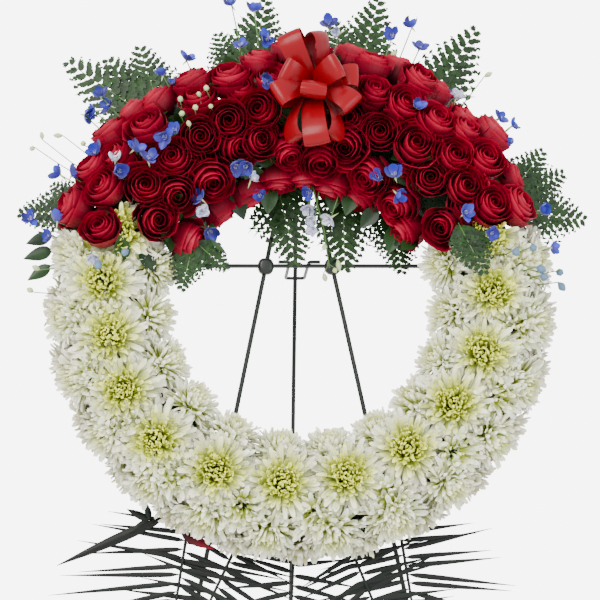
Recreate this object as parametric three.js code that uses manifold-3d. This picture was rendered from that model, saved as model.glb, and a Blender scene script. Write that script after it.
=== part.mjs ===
// A funeral wreath on its folding wire easel, in millimetres, +Z up, its front facing -Y.
//
// A ring of wet floral foam in a plastic tray is covered with white chrysanthemum heads below and red
// roses above, with a ribbon bow, fern and palm. Two prongs on the easel's crossbar carry the ring. The
// easel is green enamelled steel wire: a front frame that leans back, and a back leg hinged at its head.
//
// The ring and the front frame are modelled in the frame's own plane. There x runs across, z runs up
// the frame from the centre of the ring, and y = 0 is the plane of the two front legs, y < 0 in front.
import * as THREE from "three";
import { mergeVertices } from "three/addons/utils/BufferGeometryUtils.js";
import Module from "manifold-3d";

const wasm = await Module();
wasm.setup();
const radians = THREE.MathUtils.degToRad;
const v3 = (x, y, z) => new THREE.Vector3(x, y, z);

// ---- Driving dimensions ----
const LEAN = radians(10); // the front frame leans back by this much
const BACK_OPENING = radians(26); // between the front frame and the open back leg
const RING_HEIGHT = 1097; // centre of the ring above the floor
const GAP = 0.4; // clearance between pieces that touch

const RING = { radius: 264, segments: 36 };
const TRAY = { width: 100, back: -10.5, wall: 2.5, rim: -24 };
const FOAM = { width: 93, front: -85, shoulder: 23 };

const LEG = { radius: 3.2, splay: Math.tan(radians(11.7)), top: 276, spread: 6 };
const HEAD = { z: 267, across: 26, high: 40, deep: 14, pinY: 17, pinRadius: 2.4, earGap: 9, ear: 3 };
const BAR = { z: 65, y: -6.6, radius: 3, halfSpan: 258, prong: 58, bend: 4 };
const STOP = { radius: 2.5, halfWidth: 14, foot: 16, y: 119.6 };
const CAP = { radius: 6.5, length: 32, floor: 5 };
const CLIP = { size: 22, deep: 16 };

// A flower stands on a ring of ellipses round the foam: its base at `across` and `deep` from `y`.
const ROSE_BED = { radius: 267, y: -55, across: 52, deep: 48 };
const MUM_BED = { radius: RING.radius, y: -52, across: 53, deep: 39 };
const FLOWER_BACK = -22; // flowers stop here, so the wreath lies flat against its leaves
const STEM = { radius: 2.6, bore: 4.3 }; // a stem's bore is square in section

// ---- Solids ----
function solid(geometry) {
  const bare = geometry.clone();
  bare.deleteAttribute("normal");
  bare.deleteAttribute("uv");
  const merged = mergeVertices(bare, 1e-4);
  return new wasm.Manifold(
    new wasm.Mesh({
      numProp: 3,
      vertProperties: merged.attributes.position.array,
      triVerts: new Uint32Array(merged.index.array),
    }),
  );
}

function geometryOf(manifold) {
  const mesh = manifold.getMesh();
  const geometry = new THREE.BufferGeometry();
  geometry.setAttribute("position", new THREE.BufferAttribute(mesh.vertProperties, 3));
  geometry.setIndex(new THREE.BufferAttribute(mesh.triVerts, 1));
  geometry.computeVertexNormals();
  return geometry;
}

const join = (solids) => solids.reduce((all, next) => all.add(next));
const cut = (body, tools) => tools.reduce((rest, tool) => rest.subtract(tool), body);
// The main piece alone: slivers are dropped, and pockets sealed inside it are filled.
const whole = (body) => body.decompose().sort((a, b) => b.volume() - a.volume())[0];

// Moves a geometry's origin to a point, with its own +Y along a direction.
function stood(geometry, point, direction) {
  const turn = new THREE.Quaternion().setFromUnitVectors(v3(0, 1, 0), direction.clone().normalize());
  return geometry.applyQuaternion(turn).translate(point.x, point.y, point.z);
}

function rod(from, to, radius, sides = 8) {
  const middle = from.clone().add(to).multiplyScalar(0.5);
  const cylinder = new THREE.CylinderGeometry(radius, radius, from.distanceTo(to), sides);
  return solid(stood(cylinder, middle, to.clone().sub(from)));
}

function box(wide, deep, high, x, y, z) {
  return solid(new THREE.BoxGeometry(wide, deep, high).translate(x, y, z));
}

const turned = (profile, sides) =>
  new THREE.LatheGeometry(profile.map(([r, h]) => new THREE.Vector2(r, h)), sides);

// A wire's centreline through chosen points, with one section on each point.
class WirePath extends THREE.Curve {
  constructor(points) {
    super();
    this.points = points;
  }
  getPoint(t, target = new THREE.Vector3()) {
    const place = THREE.MathUtils.clamp(t, 0, 1) * (this.points.length - 1);
    const i = Math.min(Math.floor(place), this.points.length - 2);
    return target.lerpVectors(this.points[i], this.points[i + 1], place - i);
  }
  getPointAt(t, target) {
    return this.getPoint(t, target);
  }
  getTangentAt(t, target) {
    return this.getTangent(t, target);
  }
}

// Points of a bent wire: each inner corner becomes a round bend that starts `bend` before it.
function bentThrough(corners, bend, steps = 3) {
  const points = [corners[0]];
  for (let i = 1; i < corners.length - 1; i++) {
    const towards = (other) => other.clone().sub(corners[i]).setLength(bend).add(corners[i]);
    const arc = new THREE.QuadraticBezierCurve3(towards(corners[i - 1]), corners[i], towards(corners[i + 1]));
    points.push(...arc.getPoints(steps));
  }
  return [...points, corners.at(-1)];
}

function wire(points, radius, sides = 8) {
  const rim = Array.from({ length: sides }, (_, i) => {
    const a = (2 * Math.PI * i) / sides;
    return new THREE.Vector2(radius * Math.cos(a), radius * Math.sin(a));
  });
  const path = new WirePath(points);
  return solid(
    new THREE.ExtrudeGeometry(new THREE.Shape(rim), { steps: points.length - 1, extrudePath: path }),
  );
}

// ---- Places round the ring ----
const onRing = (degrees, radius, y) =>
  v3(radius * Math.cos(radians(degrees)), y, radius * Math.sin(radians(degrees)));

// A flower's base and the way it faces. `round` is the angle round the ring from +X. `over` is the angle
// round the section: 0 faces out, 90 faces the front, 180 faces the ring's centre.
function bedPlace(bed, round, over, raise = 0) {
  const [c, s] = [Math.cos(radians(over)), Math.sin(radians(over))];
  const facing = onRing(round, c, -s);
  const point = onRing(round, bed.radius + bed.across * c, bed.y - bed.deep * s);
  return { point: point.addScaledVector(facing, raise), facing };
}

// ---- Easel ----
const legAt = (side, z) => v3(side * (LEG.spread + (HEAD.z - z) * LEG.splay), 0, z);
const FLOOR_NORMAL = [0, -Math.sin(LEAN), Math.cos(LEAN)]; // the floor, as the leaning frame sees it
const aboveFloor = (body, height) => body.trimByPlane(FLOOR_NORMAL, height - RING_HEIGHT);
const FLOOR_Z = -RING_HEIGHT / Math.cos(LEAN);

function frontLeg(side, radius = LEG.radius) {
  const leg = rod(legAt(side, FLOOR_Z - 20), legAt(side, LEG.top), radius, 10);
  return aboveFloor(leg, radius > LEG.radius ? CAP.floor : CAP.floor + GAP);
}

function frontFoot(side) {
  const cap = rod(legAt(side, FLOOR_Z - 20), legAt(side, FLOOR_Z + CAP.length), CAP.radius, 16);
  return aboveFloor(cap, 0).subtract(frontLeg(side, LEG.radius + GAP));
}

const barCorners = (shift = 0) => [
  v3(-BAR.halfSpan, BAR.y - BAR.prong, BAR.z),
  v3(-BAR.halfSpan, BAR.y + shift, BAR.z),
  v3(BAR.halfSpan, BAR.y + shift, BAR.z),
  v3(BAR.halfSpan, BAR.y - BAR.prong, BAR.z),
];
const crossbar = () => wire(bentThrough(barCorners(), BAR.bend), BAR.radius);
const prongBores = () =>
  [-1, 1].map((side) => {
    const tip = v3(side * BAR.halfSpan, BAR.y - BAR.prong - 2, BAR.z);
    return rod(tip, v3(side * BAR.halfSpan, 0, BAR.z), BAR.radius + 2 * GAP);
  });

// A square of folded sheet, set on its corner, that clips the bar to a leg.
function legClip(side) {
  const at = legAt(side, BAR.z);
  const plate = solid(
    new THREE.BoxGeometry(CLIP.size, CLIP.deep, CLIP.size)
      .rotateY(radians(45))
      .translate(at.x, (BAR.y + 0.5) / 2, BAR.z),
  );
  const legHole = rod(legAt(side, BAR.z - 40), legAt(side, BAR.z + 40), LEG.radius + GAP, 10);
  const barHole = rod(v3(at.x - 40, BAR.y, BAR.z), v3(at.x + 40, BAR.y, BAR.z), BAR.radius + GAP);
  return cut(plate, [legHole, barHole]);
}

// The pressed head holds both legs, and its two ears at the back carry the hinge pin.
function headBracket() {
  const block = box(HEAD.across, HEAD.deep, HEAD.high, 0, 0, HEAD.z);
  const legHoles = [-1, 1].map((side) => {
    return rod(legAt(side, HEAD.z - HEAD.high), legAt(side, LEG.top + GAP), LEG.radius + GAP, 10);
  });
  const ears = [-1, 1].map((side) => {
    const x = (side * (HEAD.earGap + HEAD.ear)) / 2;
    return box(HEAD.ear, HEAD.pinY + 1, 16, x, HEAD.deep / 2 + (HEAD.pinY - 1) / 2, HEAD.z);
  });
  const pinHole = hingePinRod(HEAD.pinRadius + GAP, 2 * HEAD.earGap);
  return cut(join([block, ...ears]), [...legHoles, pinHole]);
}

const hingePinRod = (radius, halfLength) =>
  rod(v3(-halfLength, HEAD.pinY, HEAD.z), v3(halfLength, HEAD.pinY, HEAD.z), radius, 12);

function hingePin() {
  const half = HEAD.earGap / 2 + HEAD.ear + GAP;
  const heads = [-1, 1].map((side) => {
    const from = v3(side * half, HEAD.pinY, HEAD.z);
    return rod(from, v3(side * (half + 2.5), HEAD.pinY, HEAD.z), HEAD.pinRadius + 2, 12);
  });
  return join([hingePinRod(HEAD.pinRadius, half + 1), ...heads]);
}

// A loop of wire along the bar's top that reaches back round the back leg and stops its opening.
function stopLoop() {
  const top = BAR.z + BAR.radius + STOP.radius + GAP;
  const side = (s) => [
    v3(s * (STOP.halfWidth + STOP.foot), BAR.y, top),
    v3(s * STOP.halfWidth, BAR.y, top),
    v3(s * STOP.halfWidth, STOP.y, top),
  ];
  return wire(bentThrough([...side(-1), ...side(1).reverse()], 6), STOP.radius);
}

// The back leg in its own frame: the hinge pin at the origin, the leg hanging down.
const BACK_PIN = v3(0, HEAD.pinY, HEAD.z).applyAxisAngle(v3(1, 0, 0), -LEAN).add(v3(0, 0, RING_HEIGHT));
const BACK_LEAN = BACK_OPENING - LEAN;
const BACK_LENGTH = BACK_PIN.z / Math.cos(BACK_LEAN);
const BACK_NORMAL = [0, Math.sin(BACK_LEAN), Math.cos(BACK_LEAN)];

function backLeg(radius = LEG.radius) {
  const leg = rod(v3(0, 0, -BACK_LENGTH - 20), v3(0, 0, -5), radius, 10);
  const eye = rod(v3(-4, 0, 0), v3(4, 0, 0), 7, 16);
  const hole = rod(v3(-9, 0, 0), v3(9, 0, 0), HEAD.pinRadius + GAP, 12);
  const end = CAP.floor + (radius > LEG.radius ? 0 : GAP);
  return leg.add(eye).subtract(hole).trimByPlane(BACK_NORMAL, end - BACK_PIN.z);
}

function backFoot() {
  const cap = rod(v3(0, 0, -BACK_LENGTH - 20), v3(0, 0, -BACK_LENGTH + CAP.length), CAP.radius, 16);
  return cap.trimByPlane(BACK_NORMAL, -BACK_PIN.z).subtract(backLeg(LEG.radius + GAP));
}

// ---- Foam ring and its tray ----
function ringOf(section) {
  const outline = [...section, section[0]];
  return solid(turned(outline.map(([out, y]) => [RING.radius + out, y]), RING.segments));
}

function tray() {
  const [out, inside] = [TRAY.width / 2, TRAY.width / 2 - TRAY.wall];
  const floor = TRAY.back - TRAY.wall;
  return ringOf([
    [-out, TRAY.back], [-out, TRAY.rim], [-inside, TRAY.rim], [-inside, floor],
    [inside, floor], [inside, TRAY.rim], [out, TRAY.rim], [out, TRAY.back],
  ]);
}

function foam() {
  const half = FOAM.width / 2;
  const back = TRAY.back - TRAY.wall - GAP;
  const { front, shoulder } = FOAM;
  const side = (s) => [
    [s * half, back],
    [s * half, front + shoulder],
    [s * (half - shoulder * 0.3), front + shoulder * 0.3],
    [s * (half - shoulder), front],
  ];
  return ringOf([...side(-1), ...side(1).reverse()]);
}

// ---- Flower heads: turned solids, the stem end at the origin and the face towards +Y ----
const HEADS = {
  faceMum: {
    sides: 9, middle: 18, reach: 55, stem: 26,
    profile: [[0, 0], [30, 6], [54, 24], [44, 39], [0, 42]],
  },
  sideMum: {
    sides: 6, middle: 16, reach: 49, stem: 24,
    profile: [[0, 0], [49, 18], [38, 35], [0, 40]],
  },
  rose: {
    sides: 7, middle: 25, reach: 29, stem: 34,
    profile: [[0, 0], [20, 8], [28, 28], [22, 46], [0, 43]],
  },
};

function flower(kind, place, size = 1) {
  const { sides, middle, reach, stem, profile } = HEADS[kind];
  const head = stood(turned(profile.map(([r, h]) => [r * size, h * size]), sides), place.point, place.facing);
  return {
    head: solid(head).trimByPlane([0, -1, 0], -FLOWER_BACK),
    centre: place.point.clone().addScaledVector(place.facing, middle * size),
    reach: reach * size,
    stem: [
      place.point.clone().addScaledVector(place.facing, 3),
      place.point.clone().addScaledVector(place.facing, -stem),
    ],
  };
}

// Heads that press on each other share a flat face, which lies nearer the smaller one.
function pressTogether(bunches) {
  const all = Object.values(bunches).flatMap((flowers) => flowers.map((f) => ({ flowers, f })));
  for (const a of all) {
    for (const b of all) {
      const between = b.f.centre.clone().sub(a.f.centre);
      const distance = between.length();
      if (a.flowers === b.flowers || distance > a.f.reach + b.f.reach + 12) continue;
      const share = (distance ** 2 + a.f.reach ** 2 - b.f.reach ** 2) / (2 * distance) - GAP / 2;
      const inward = between.normalize().negate();
      const offset = inward.dot(a.f.centre) - share;
      a.f.head = a.f.head.trimByPlane(inward.toArray(), offset);
    }
  }
}

// Leaves and calyxes tie the heads of a bunch together, each head to the next.
const TIE = 5;
const tiesOf = (heads) => heads.slice(1).map((head, i) => [heads[i].centre, head.centre]);

// ---- Where the flowers stand ----
// Chrysanthemums on the ring's face: [angle round the ring, distance of the base from its centre].
const FACE_MUMS = [
  [19, 268], [2, 262], [-17, 258], [-36, 252], [-56, 252], [-77, 252], [-97, 256],
  [-117, 264], [-136, 276], [-153, 274], [-169, 268], [-185, 274], [-200, 266],
];
// Rows of chrysanthemums beside them, evenly spaced between two angles.
const MUM_ROWS = {
  outer_front_mums: { count: 14, from: 10, to: -192, over: 34, size: 1 },
  outer_back_mums: { count: 15, from: 12, to: -194, over: -14, size: 1 },
  inner_mums: { count: 12, from: 15, to: -194, over: 150, size: 0.88 },
};
// Bunches of roses over the top: each rose is [angle round the ring, angle over the section, raise].
const ROSE_BUNCHES = {
  roses_01: [[23, 48], [32, 12], [26, 74], [37, 46], [35, 89]],
  roses_02: [[28, 125], [35, 168], [43, 110], [45, 152]],
  roses_03: [[42, 12, 12], [46, 44], [49, 24, 6], [43, 74], [53, 64]],
  roses_04: [[54, 98], [65, 100], [60, 142], [60, 186]],
  roses_05: [[58, 18, 10], [63, 28, 18], [68, 12, 14], [63, 58]],
  roses_06: [[71, 62], [73, 30, 14], [79, 14, 14], [86, 16, 14]],
  roses_07: [[74, 120], [82, 140], [76, 172], [89, 165]],
  roses_08: [[96, 130], [107, 124], [99, 174]],
  roses_09: [[94, 14, 14], [100, 32, 6], [108, 42], [101, 88]],
  roses_10: [[116, 30, 4], [118, 56], [125, 24, 4], [112, 88], [122, 86]],
  roses_11: [[115, 184], [131, 184], [126, 132], [140, 122]],
  roses_12: [[131, 14, 8], [133, 48], [139, 12, 10], [142, 50]],
  roses_13: [[133, 98], [146, 90], [152, 118], [152, 164]],
  roses_14: [[148, 26, 4], [151, 58], [157, 26], [163, 70]],
};
const ROSE_SIZE = 1.04;

const flowers = {};
FACE_MUMS.forEach(([round, radius], i) => {
  const tilt = 90 - (radius - RING.radius) * 0.6;
  const place = bedPlace({ radius, y: FOAM.front - 3, across: 0, deep: 0 }, round, tilt);
  flowers[`face_mum_${String(i + 1).padStart(2, "0")}`] = [flower("faceMum", place, 0.98)];
});
for (const [name, { count, from, to, over, size }] of Object.entries(MUM_ROWS)) {
  flowers[name] = Array.from({ length: count }, (_, i) => {
    const round = from + ((to - from) * i) / (count - 1);
    return flower("sideMum", bedPlace(MUM_BED, round, over), size);
  });
}
for (const [name, roses] of Object.entries(ROSE_BUNCHES)) {
  flowers[name] = roses.map(([round, over, raise]) => {
    return flower("rose", bedPlace(ROSE_BED, round, over, raise), ROSE_SIZE);
  });
}
pressTogether(flowers);

// ---- Ribbon bow: loops of wide ribbon gathered at a wired knot ----
const BOW = { x: 15, y: -135, z: 292, width: 34, knot: 11, fat: 0.42 };
// Each loop's far end from the knot, and its turn from facing the front: [across, forward, up, turn].
const BOW_LOOPS = [
  [-36, 22, 72, -20], [4, 30, 72, 35], [32, 56, 16, 0], [60, 32, 8, -20], [-44, 40, 14, -15],
  [-54, 46, -24, 10], [-4, 66, -24, 0], [52, 46, -38, -15], [-28, 32, -82, 45], [2, 44, -92, 15],
  [26, 36, -80, -40],
];
const bowKnot = v3(BOW.x, BOW.y, BOW.z);

// A loop seen edge-on is a drop: pinched at the knot, round at the far end and open there.
function dropOutline(length, half) {
  return Array.from({ length: 7 }, (_, i) => {
    const a = (2 * Math.PI * (i + 0.5)) / 7;
    const along = (length / 2) * (1 - Math.cos(a));
    return new THREE.Vector2(along, half * Math.sin(a) * (0.7 - 0.3 * Math.cos(a)));
  });
}

function loopOpening(length, half) {
  return Array.from({ length: 4 }, (_, i) => {
    const a = (2 * Math.PI * i) / 4;
    return new THREE.Vector2(length * (0.7 + 0.22 * Math.cos(a)), half * 0.62 * Math.sin(a));
  });
}

function bowLoop([across, forward, up, turn]) {
  const end = v3(across, -forward, up);
  const length = end.length() + 4;
  const half = length * BOW.fat * 0.5;
  const shape = new THREE.Shape(dropOutline(length, half));
  shape.holes.push(new THREE.Path(loopOpening(length, half)));
  const band = new THREE.ExtrudeGeometry(shape, { depth: BOW.width, bevelEnabled: false });
  const along = end.normalize();
  const wide = along.clone().cross(v3(0, -1, 0)).normalize();
  const lie = new THREE.Matrix4().makeBasis(along, wide.clone().cross(along), wide);
  band.translate(-4, 0, -BOW.width / 2).rotateX(radians(turn)).applyMatrix4(lie);
  return solid(band.translate(bowKnot.x, bowKnot.y, bowKnot.z));
}

const bowStem = [bowKnot, v3(BOW.x, FOAM.front + 30, BOW.z - 10)];
const bow = () => {
  const knot = solid(new THREE.SphereGeometry(BOW.knot, 8, 6).translate(BOW.x, BOW.y, BOW.z));
  return whole(join([knot, rod(...bowStem, STEM.radius, 6), ...BOW_LOOPS.map(bowLoop)]));
};
// The hollow among the roses in which the bow sits.
const bowSeat = () =>
  solid(new THREE.SphereGeometry(1, 16, 10).scale(84, 66, 112).translate(BOW.x, BOW.y - 52, BOW.z - 8));

// ---- Fern and palm: flat fronds of slanting leaflets on a stalk ----
function frondShape({ length, stalk, leaflets, longest, slant, lean = 0, fill, web }) {
  const side = [];
  for (let i = 0; i < leaflets; i++) {
    const pitch = (length - stalk) / leaflets;
    const start = stalk + i * pitch;
    const t = i / leaflets;
    const out = longest * (1 - t) ** 0.75 * Math.min(1, 0.55 + 2 * t);
    side.push([start, web], [start + pitch * fill * 0.5 + out * (slant + lean * t), out]);
    if (fill < 1) side.push([start + pitch * fill, web]);
  }
  const other = side.map(([u, v]) => [u, -v]).reverse();
  const outline = [[0, web], ...side, [length, 0], ...other, [0, -web]];
  return new THREE.Shape(outline.map(([u, v]) => new THREE.Vector2(u, v)));
}

// Where a point of a frond lies that slopes forward below the tray.
const slopedY = ({ y, z }, slope) => y - slope * Math.max(0, -PALM_START - z);

// Lays a frond from a point towards its tip. Its leaflets droop by `droop` at their ends. Below the tray
// it slopes forward by `slope`.
function frond(from, tip, { droop = 0, slope = 0, thick = 1.2, ...shape }) {
  const length = from.distanceTo(tip);
  const outline = frondShape({ length, ...shape });
  const geometry = new THREE.ExtrudeGeometry(outline, { depth: thick, bevelEnabled: false });
  const position = geometry.attributes.position;
  for (let i = 0; i < position.count; i++) {
    position.setZ(i, position.getZ(i) - droop * (position.getY(i) / shape.longest) ** 2);
  }
  const along = tip.clone().sub(from).normalize();
  const across = v3(0, -1, 0).cross(along).normalize();
  const basis = new THREE.Matrix4().makeBasis(along, across, along.clone().cross(across));
  geometry.applyMatrix4(basis.setPosition(from));
  const point = v3(0, 0, 0);
  for (let i = 0; i < position.count; i++) {
    point.fromBufferAttribute(position, i);
    position.setY(i, slopedY(point, slope));
  }
  return solid(geometry);
}

const FERN = { stalk: 8, leaflets: 5, longest: 58, slant: 0.5, fill: 1, web: 9, droop: 6 };
// Palm leaflets stand straight out at the root and lean further towards the tip the nearer they are to it.
const PALM = { stalk: 8, leaflets: 12, slant: -0.12, lean: 1.5, fill: 0.5, web: 3 };
const PALM_START = 300;
const PALM_SLOPE = { least: 0.05, step: 0.01 };
const PALM_LAYER = { first: 7, pitch: 2.2 };

// Fern sprays: where each leaves the foam, [angle, inside or outside], and its frond tips [x, y, z].
const FERNS = {
  fern_top_left: { root: 126, tips: [[-342, 10, 376], [-282, 24, 384], [-232, 6, 398]] },
  fern_top: { root: 103, tips: [[-118, 24, 424], [-44, 10, 474]] },
  fern_top_right: { root: 76, tips: [[124, 10, 476], [56, 24, 444]] },
  fern_upper_right: { root: 58, tips: [[270, 10, 432]] },
  fern_right: { root: 27, tips: [[420, -10, 132], [394, 14, 210], [360, -6, 240]] },
  fern_left: { root: 154, tips: [[-404, -8, 140], [-358, 16, 190]] },
  fern_inner_left: { root: 100, inside: true, tips: [[-4, -30, 56]] },
  fern_inner_middle: { root: 72, inside: true, tips: [[64, -30, 48]] },
  fern_inner_right: { root: 50, inside: true, tips: [[146, -30, 46]] },
};

function fernSpray({ root, inside, tips }) {
  const [deep, exit] = inside ? [228, 202] : [298, 326];
  const stem = [onRing(root, deep, -46), onRing(root, exit, -18)];
  const fronds = tips.map(([x, y, z]) => {
    const width = Math.min(FERN.longest, stem[1].distanceTo(v3(x, y, z)) * 0.4);
    return frond(stem[1], v3(x, y, z), { ...FERN, longest: width });
  });
  return { stem, body: join([rod(...stem, 2, 6), ...fronds]) };
}

// Palm fronds under the ring: the root's angle, the way it points, and its layer in front of the legs.
// A layer further forward slopes further forward by a step.
const PALMS = {
  palm_left: { root: -118, way: -99, length: 330, longest: 190, layer: 1 },
  palm_lower_left: { root: -105, way: -116, length: 350, longest: 140, layer: 0 },
  palm_bottom: { root: -92, way: -93, length: 390, longest: 130, layer: 2 },
  palm_lower_right: { root: -79, way: -68, length: 350, longest: 140, layer: 4 },
  palm_right: { root: -66, way: -82, length: 330, longest: 175, layer: 3 },
};

function palmFrond({ root, way, length, longest, layer }) {
  const slope = PALM_SLOPE.least + PALM_SLOPE.step * layer;
  const start = onRing(root, 334, -PALM_LAYER.first - PALM_LAYER.pitch * layer);
  const tip = start.clone().add(onRing(way, length, 0));
  const stem = [onRing(root, 298, -46), start.clone().setY(slopedY(start, slope))];
  return { stem, body: rod(...stem, 2, 6).add(frond(start, tip, { ...PALM, longest, slope })) };
}

// ---- The finished object ----
const COLOURS = {
  enamel: ["#2c4238", 0.35, 0.4],
  zinc: ["#5b6a63", 0.35, 0.8],
  rubber: ["#1d211f", 0.7, 0],
  tray: ["#2e6b45", 0.5, 0],
  foam: ["#3f6f4b", 0.95, 0],
  mum: ["#f1f0de", 0.7, 0],
  rose: ["#a30d25", 0.6, 0],
  ribbon: ["#e0102c", 0.25, 0],
  fern: ["#4c7a44", 0.6, 0],
  palm: ["#1c3a26", 0.5, 0],
};

function named(name, body, finish) {
  const [color, roughness, metalness] = COLOURS[finish];
  const mesh = new THREE.Mesh(
    geometryOf(body),
    new THREE.MeshStandardMaterial({ color, roughness, metalness, flatShading: true }),
  );
  mesh.name = name;
  return mesh;
}

const frontFrame = new THREE.Group();
frontFrame.rotation.x = -LEAN;
frontFrame.position.z = RING_HEIGHT;
const backFrame = new THREE.Group();
backFrame.rotation.x = BACK_LEAN;
backFrame.position.copy(BACK_PIN);

for (const [side, name] of [[-1, "left"], [1, "right"]]) {
  frontFrame.add(named(`front_${name}_leg`, frontLeg(side), "enamel"));
  frontFrame.add(named(`front_${name}_foot`, frontFoot(side), "rubber"));
  frontFrame.add(named(`${name}_leg_clip`, legClip(side), "enamel"));
}
frontFrame.add(named("crossbar", crossbar(), "enamel"));
frontFrame.add(named("head_bracket", headBracket(), "enamel"));
frontFrame.add(named("hinge_pin", hingePin(), "zinc"));
frontFrame.add(named("leg_stop_loop", stopLoop(), "enamel"));
backFrame.add(named("back_leg", backLeg(), "enamel"));
backFrame.add(named("back_foot", backFoot(), "rubber"));

const sprays = Object.fromEntries([
  ...Object.entries(FERNS).map(([name, fern]) => [name, fernSpray(fern)]),
  ...Object.entries(PALMS).map(([name, palm]) => [name, palmFrond(palm)]),
]);
for (const [name, { body }] of Object.entries(sprays)) {
  frontFrame.add(named(name, body, name.startsWith("fern") ? "fern" : "palm"));
}
frontFrame.add(named("bow", bow(), "ribbon"));

const rods = (runs, radius, sides) => runs.map((run) => rod(...run, radius, sides));
// Every third head stands on a stem of its own, and the ties carry those between.
const stemsOf = (heads) => heads.filter((_, i) => i % 3 === 0).map(({ stem }) => stem);
const flowerStems = Object.values(flowers).flatMap(stemsOf);
const otherStems = [...Object.values(sprays).map(({ stem }) => stem), bowStem];
const foamBores = rods([...flowerStems, ...otherStems], STEM.bore, 4);
frontFrame.add(named("foam_ring", cut(foam(), [...foamBores, ...prongBores()]), "foam"));
frontFrame.add(named("backing_tray", cut(tray(), prongBores()), "tray"));

for (const [name, heads] of Object.entries(flowers)) {
  const isRose = name.startsWith("roses");
  const others = Object.entries(flowers).filter(([other]) => other !== name);
  const clear = [
    ...rods(otherStems, STEM.bore, 4),
    ...rods(others.flatMap(([, heads]) => tiesOf(heads)), TIE * 1.5, 4),
    ...(isRose ? [bowSeat()] : []),
  ];
  const stems = rods(stemsOf(heads), STEM.radius, 5);
  const ties = rods(tiesOf(heads), TIE, 4);
  const body = join([...heads.map(({ head }) => head), ...ties]);
  frontFrame.add(named(name, whole(join([cut(body, clear), ...stems])), isRose ? "rose" : "mum"));
}

const wreath = new THREE.Group();
wreath.add(frontFrame, backFrame);
wreath.updateMatrixWorld(true);
const middle = new THREE.Box3().setFromObject(wreath, true).getCenter(new THREE.Vector3());
wreath.position.set(-middle.x, -middle.y, 0);

export default wreath;
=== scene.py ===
# A funeral wreath on its folding wire easel: roses and chrysanthemums in a ring of floral foam,
# with a ribbon bow, fern, delphinium and palm. The file follows the object as it is put together.
# Lengths are metres. The ring and the easel's front are described in their own leaning plane: x
# runs across, y back and z up the plane, from the centre of the ring.
import math

import bpy
import numpy as np
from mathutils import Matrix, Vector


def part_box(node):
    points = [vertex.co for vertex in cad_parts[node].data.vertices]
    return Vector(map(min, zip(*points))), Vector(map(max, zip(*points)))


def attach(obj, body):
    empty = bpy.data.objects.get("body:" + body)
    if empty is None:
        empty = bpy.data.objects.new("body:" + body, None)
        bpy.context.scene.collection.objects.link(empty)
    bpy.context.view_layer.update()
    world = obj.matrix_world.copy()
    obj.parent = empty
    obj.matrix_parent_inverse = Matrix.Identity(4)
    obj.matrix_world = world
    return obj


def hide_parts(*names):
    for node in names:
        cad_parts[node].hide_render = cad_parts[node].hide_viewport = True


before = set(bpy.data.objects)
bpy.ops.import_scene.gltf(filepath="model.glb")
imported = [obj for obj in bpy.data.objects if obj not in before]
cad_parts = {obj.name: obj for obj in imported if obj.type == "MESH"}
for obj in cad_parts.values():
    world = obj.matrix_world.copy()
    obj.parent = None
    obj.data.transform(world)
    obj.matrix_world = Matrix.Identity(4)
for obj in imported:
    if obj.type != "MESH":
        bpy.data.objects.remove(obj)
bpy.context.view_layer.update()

# ---- Camera, floor and light ----
# A long studio lens some 2.6 m off, level with the middle of the ring and a little to its left.
LEAN = math.radians(10)
PIN_IN_FRAME = np.array([0.0, 0.017, 0.267])  # the hinge pin, behind and above the ring's centre


def lean_back(points):
    """Turns points of the leaning plane by the lean about x, keeping their origin."""
    x, y, z = np.moveaxis(np.asarray(points, float), -1, 0)
    back = y * math.cos(LEAN) + z * math.sin(LEAN)
    return np.stack([x, back, z * math.cos(LEAN) - y * math.sin(LEAN)], axis=-1)


pin_box = np.array(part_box("hinge_pin"))
RING_CENTRE = pin_box.mean(axis=0) - lean_back(PIN_IN_FRAME)


def in_place(points):
    """Gives the object's own coordinates of points of the leaning plane: leant back, then moved so
    that their origin is the ring's centre."""
    return lean_back(points) + RING_CENTRE


CAMERA_AWAY = 2.6
CAMERA_LEFT = math.radians(3)
SEEN_ACROSS = 0.84  # the width in view at the depth of the foam
SENSOR_MM = 36
FOAM_MIDDLE_Y = -0.055
AIM_SHIFT = np.array([-0.002, 0, 0.007])

aim = in_place([0, FOAM_MIDDLE_Y, 0]) + AIM_SHIFT
camera_data = bpy.data.cameras.new("camera")
camera_data.sensor_width = SENSOR_MM
camera_data.lens = SENSOR_MM * CAMERA_AWAY / SEEN_ACROSS
camera = bpy.data.objects.new("camera", camera_data)
camera.location = aim - CAMERA_AWAY * np.array([math.sin(CAMERA_LEFT), math.cos(CAMERA_LEFT), 0])
camera.rotation_euler = (math.pi / 2, 0, -CAMERA_LEFT)
bpy.context.collection.objects.link(camera)
bpy.context.scene.camera = camera


def linear(hex_colour):
    """Turns an sRGB hex colour into linear red, green, blue and alpha: below 0.04045 a straight
    1/12.92, above it the power 2.4 of (c + 0.055) / 1.055."""
    srgb = np.array([int(hex_colour[i : i + 2], 16) for i in (1, 3, 5)]) / 255
    light = np.where(srgb <= 0.04045, srgb / 12.92, ((srgb + 0.055) / 1.055) ** 2.4)
    return (*light.tolist(), 1.0)


def node(tree, kind, sockets=(), **settings):
    """Adds one node of a kind to a node tree, with its settings. A socket takes the value given for
    it, or is linked where another node's output is given."""
    made = tree.nodes.new(kind)
    for name, value in settings.items():
        setattr(made, name, value)
    for socket, value in dict(sockets).items():
        if isinstance(value, bpy.types.NodeSocket):
            tree.links.new(value, made.inputs[socket])
        else:
            made.inputs[socket].default_value = value
    return made


def material(name, **surface):
    """Makes a material whose shader starts from the given values. Returns it, its node tree and its
    shader."""
    made = bpy.data.materials.new(name)
    made.use_nodes = True
    shader = made.node_tree.nodes["Principled BSDF"]
    for socket, value in surface.items():
        shader.inputs[socket.replace("_", " ")].default_value = value
    return made, made.node_tree, shader


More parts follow.
